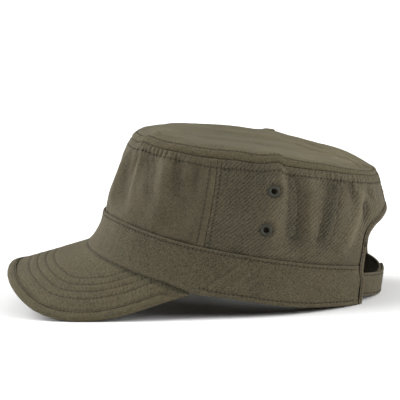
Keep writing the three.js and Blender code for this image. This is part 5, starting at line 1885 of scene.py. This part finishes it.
peak_thread = Threads(3)
for d in PEAK_ROWS:
    uu = np.linspace(0, 1, 2001)
    ok = uu[across(uu) > d + 1.0]
    u = np.linspace(ok[0], ok[-1], 700)
    p, n = peak_top(u, np.full_like(u, d)), peak_normal(u, 1 - d / across(u))
    peak_thread.row(p, n, u * PEAK_LENGTH, radius=0.17, lift=0.06)
    p = peak_top(u, np.full_like(u, d), -1.0)
    peak_thread.row(p, -n, u * PEAK_LENGTH, radius=0.17, lift=0.06)
u = np.linspace(0.04, 0.96, 900)
W = tape_inner(u, 6.5)
side = np.minimum(u, 1 - u)
H = peak_half(u) + PEAK_PROUD * smooth((side - 0.03) / 0.05)
q = 1 - (W - 0.9) / across(u)
n = peak_normal(u, q)
peak_thread.row(peak_point(u, q, H - 0.02), n, u * PEAK_LENGTH)
peak_thread.row(peak_point(u, q, -H + 0.02), -n, u * PEAK_LENGTH)
finish_piece(peak_thread.build("stitches_peak"), THREAD, "peak_cloth")

back_thread = Threads(4)
i = np.linspace(3, len(ARCH_S) - 4, 900)
q = np.full_like(i, 3.4)
nn = unit(np.stack([np.interp(i, np.arange(len(ARCH_S)), ARCH_N[:, c]) for c in range(3)], -1))
along = np.interp(i, np.arange(len(ARCH_S)), ARCH_S)
back_thread.row(arch_point(i, q, ARCH_UP - 0.14 + 0 * i), nn, along)
tk = np.interp(i, np.arange(len(ARCH_S)), ARCH_THICK)
back_thread.row(arch_point(i, q, -tk - ARCH_UP + 0.14), -nn, along)
# bar tacks where the straight edges turn into the arch
for goal in (75.0,):
    for sx in (1, -1):
        k = int(np.argmin(abs(ARCH_P[:, 2] - goal) + np.where(ARCH_P[:, 0] * sx > 20, 0, 1e3)))
        for step in range(7):
            ii = np.full(12, k + (step - 3) * 0.9)
            qq = np.linspace(0.7, 4.4, 12)
            n1 = unit(np.stack([np.interp(ii, np.arange(len(ARCH_S)), ARCH_N[:, c]) for c in range(3)], -1))
            back_thread.row(arch_point(ii, qq, ARCH_UP + 0.02 + 0 * ii), n1, np.linspace(0.0, 3.6, 12), radius=0.22, step=3.6, fill=1.0, lift=0.16, dip=0.2)
for side, end_x, off_at in ((1, -20.0, outer_strap_off), (-1, -18.0, under_strap_off)):
    for k in (-1, 1):
        X = np.linspace(0.5, 60.0 - end_x - 1.7, 260)
        x = side * (60.0 - X)
        z = strap_mid(x) + k * (0.5 * STRAP_WIDTH - 1.7)
        p, n = back_wall(x, z, off_at(side * x))
        p[:, 2] = z
        back_thread.row(p - n * 0.12, n, X)
        back_thread.row(p - n * (STRAP_THICK - 0.12), -n, X)
    w = np.linspace(-0.5 * STRAP_WIDTH + 2.2, 0.5 * STRAP_WIDTH - 2.2, 40)
    x = np.full_like(w, side * (end_x + 1.7))
    z = strap_mid(x) + w
    p, n = back_wall(x, z, off_at(side * x))
    p[:, 2] = z
    back_thread.row(p - n * 0.12, n)
    back_thread.row(p - n * (STRAP_THICK - 0.12), -n)
finish_piece(back_thread.build("stitches_back"), THREAD, "strap_cloth")

# ---------------------------------------------------------------- floor, lights, camera
def plane_mesh(name, verts, faces):
    mesh = bpy.data.meshes.new(name)
    mesh.from_pydata(verts, [], faces)
    mesh.update()
    obj = bpy.data.objects.new(name, mesh)
    bpy.context.scene.collection.objects.link(obj)
    return obj


floor = plane_mesh("floor", [(-40, -40, 0), (40, -40, 0), (40, 40, 0), (-40, 40, 0)], [(0, 1, 2, 3)])
fm = bpy.data.materials.new("pale_floor")
fm.use_nodes = True
fb = fm.node_tree.nodes["Principled BSDF"]
fb.inputs["Base Color"].default_value = (0.86, 0.86, 0.86, 1)
fb.inputs["Roughness"].default_value = 0.85
fb.inputs["Specular IOR Level"].default_value = 0.15
floor.data.materials.append(fm)

world = bpy.data.worlds.new("studio")
world.use_nodes = True
world.node_tree.nodes["Background"].inputs[0].default_value = (1, 1, 1, 1)
world.node_tree.nodes["Background"].inputs[1].default_value = 0.012
bpy.context.scene.world = world


def sun(name, toward, strength, spread):
    """Soft light from far away, coming from the direction toward."""
    data = bpy.data.lights.new(name, "SUN")
    data.energy = strength
    data.angle = math.radians(spread)
    obj = bpy.data.objects.new(name, data)
    bpy.context.scene.collection.objects.link(obj)
    obj.rotation_euler = Vector([-c for c in toward]).to_track_quat("-Z", "Y").to_euler()
    return obj


from mathutils import Matrix, Vector

sun("front_light", (0.0, -0.76, 0.65), 2.1, 56)
sun("front_light_far", (-0.28, -0.85, 0.44), 2.85, 60)
sun("rear_light", (0.0, 0.80, 0.60), 1.35, 30)
sun("rear_light_near", (0.30, 0.85, 0.40), 2.37, 30)
sun("overhead", (0.0, 0.0, 1.0), 0.95, 50)

scene = bpy.context.scene
scene.view_settings.view_transform = "Standard"
scene.view_settings.look = "None"
scene.view_settings.exposure = 0.0
scene.view_settings.gamma = 1.0

cam_data = bpy.data.cameras.new("camera")
cam_data.sensor_width = 36.0
cam_data.lens = 172.06
cam_data.clip_start, cam_data.clip_end = 0.05, 30.0
cam = bpy.data.objects.new("camera", cam_data)
scene.collection.objects.link(cam)
back = Vector((0.984055, 0.120826, 0.130526)).normalized()
right = Vector((-0.121869, 0.992546, 0.0)).normalized()
up = back.cross(right)
roll = math.radians(3.0)
cx = right * math.cos(roll) - up * math.sin(roll)
cy = up * math.cos(roll) + right * math.sin(roll)
target = Vector((0.0 + SHIFT[0], SHIFT[1], 78.0 + SHIFT[2])) * 0.001
eye = target + back * 1.3
cam.matrix_world = Matrix(((cx.x, cy.x, back.x, eye.x), (cx.y, cy.y, back.y, eye.y), (cx.z, cy.z, back.z, eye.z), (0, 0, 0, 1)))
scene.camera = cam
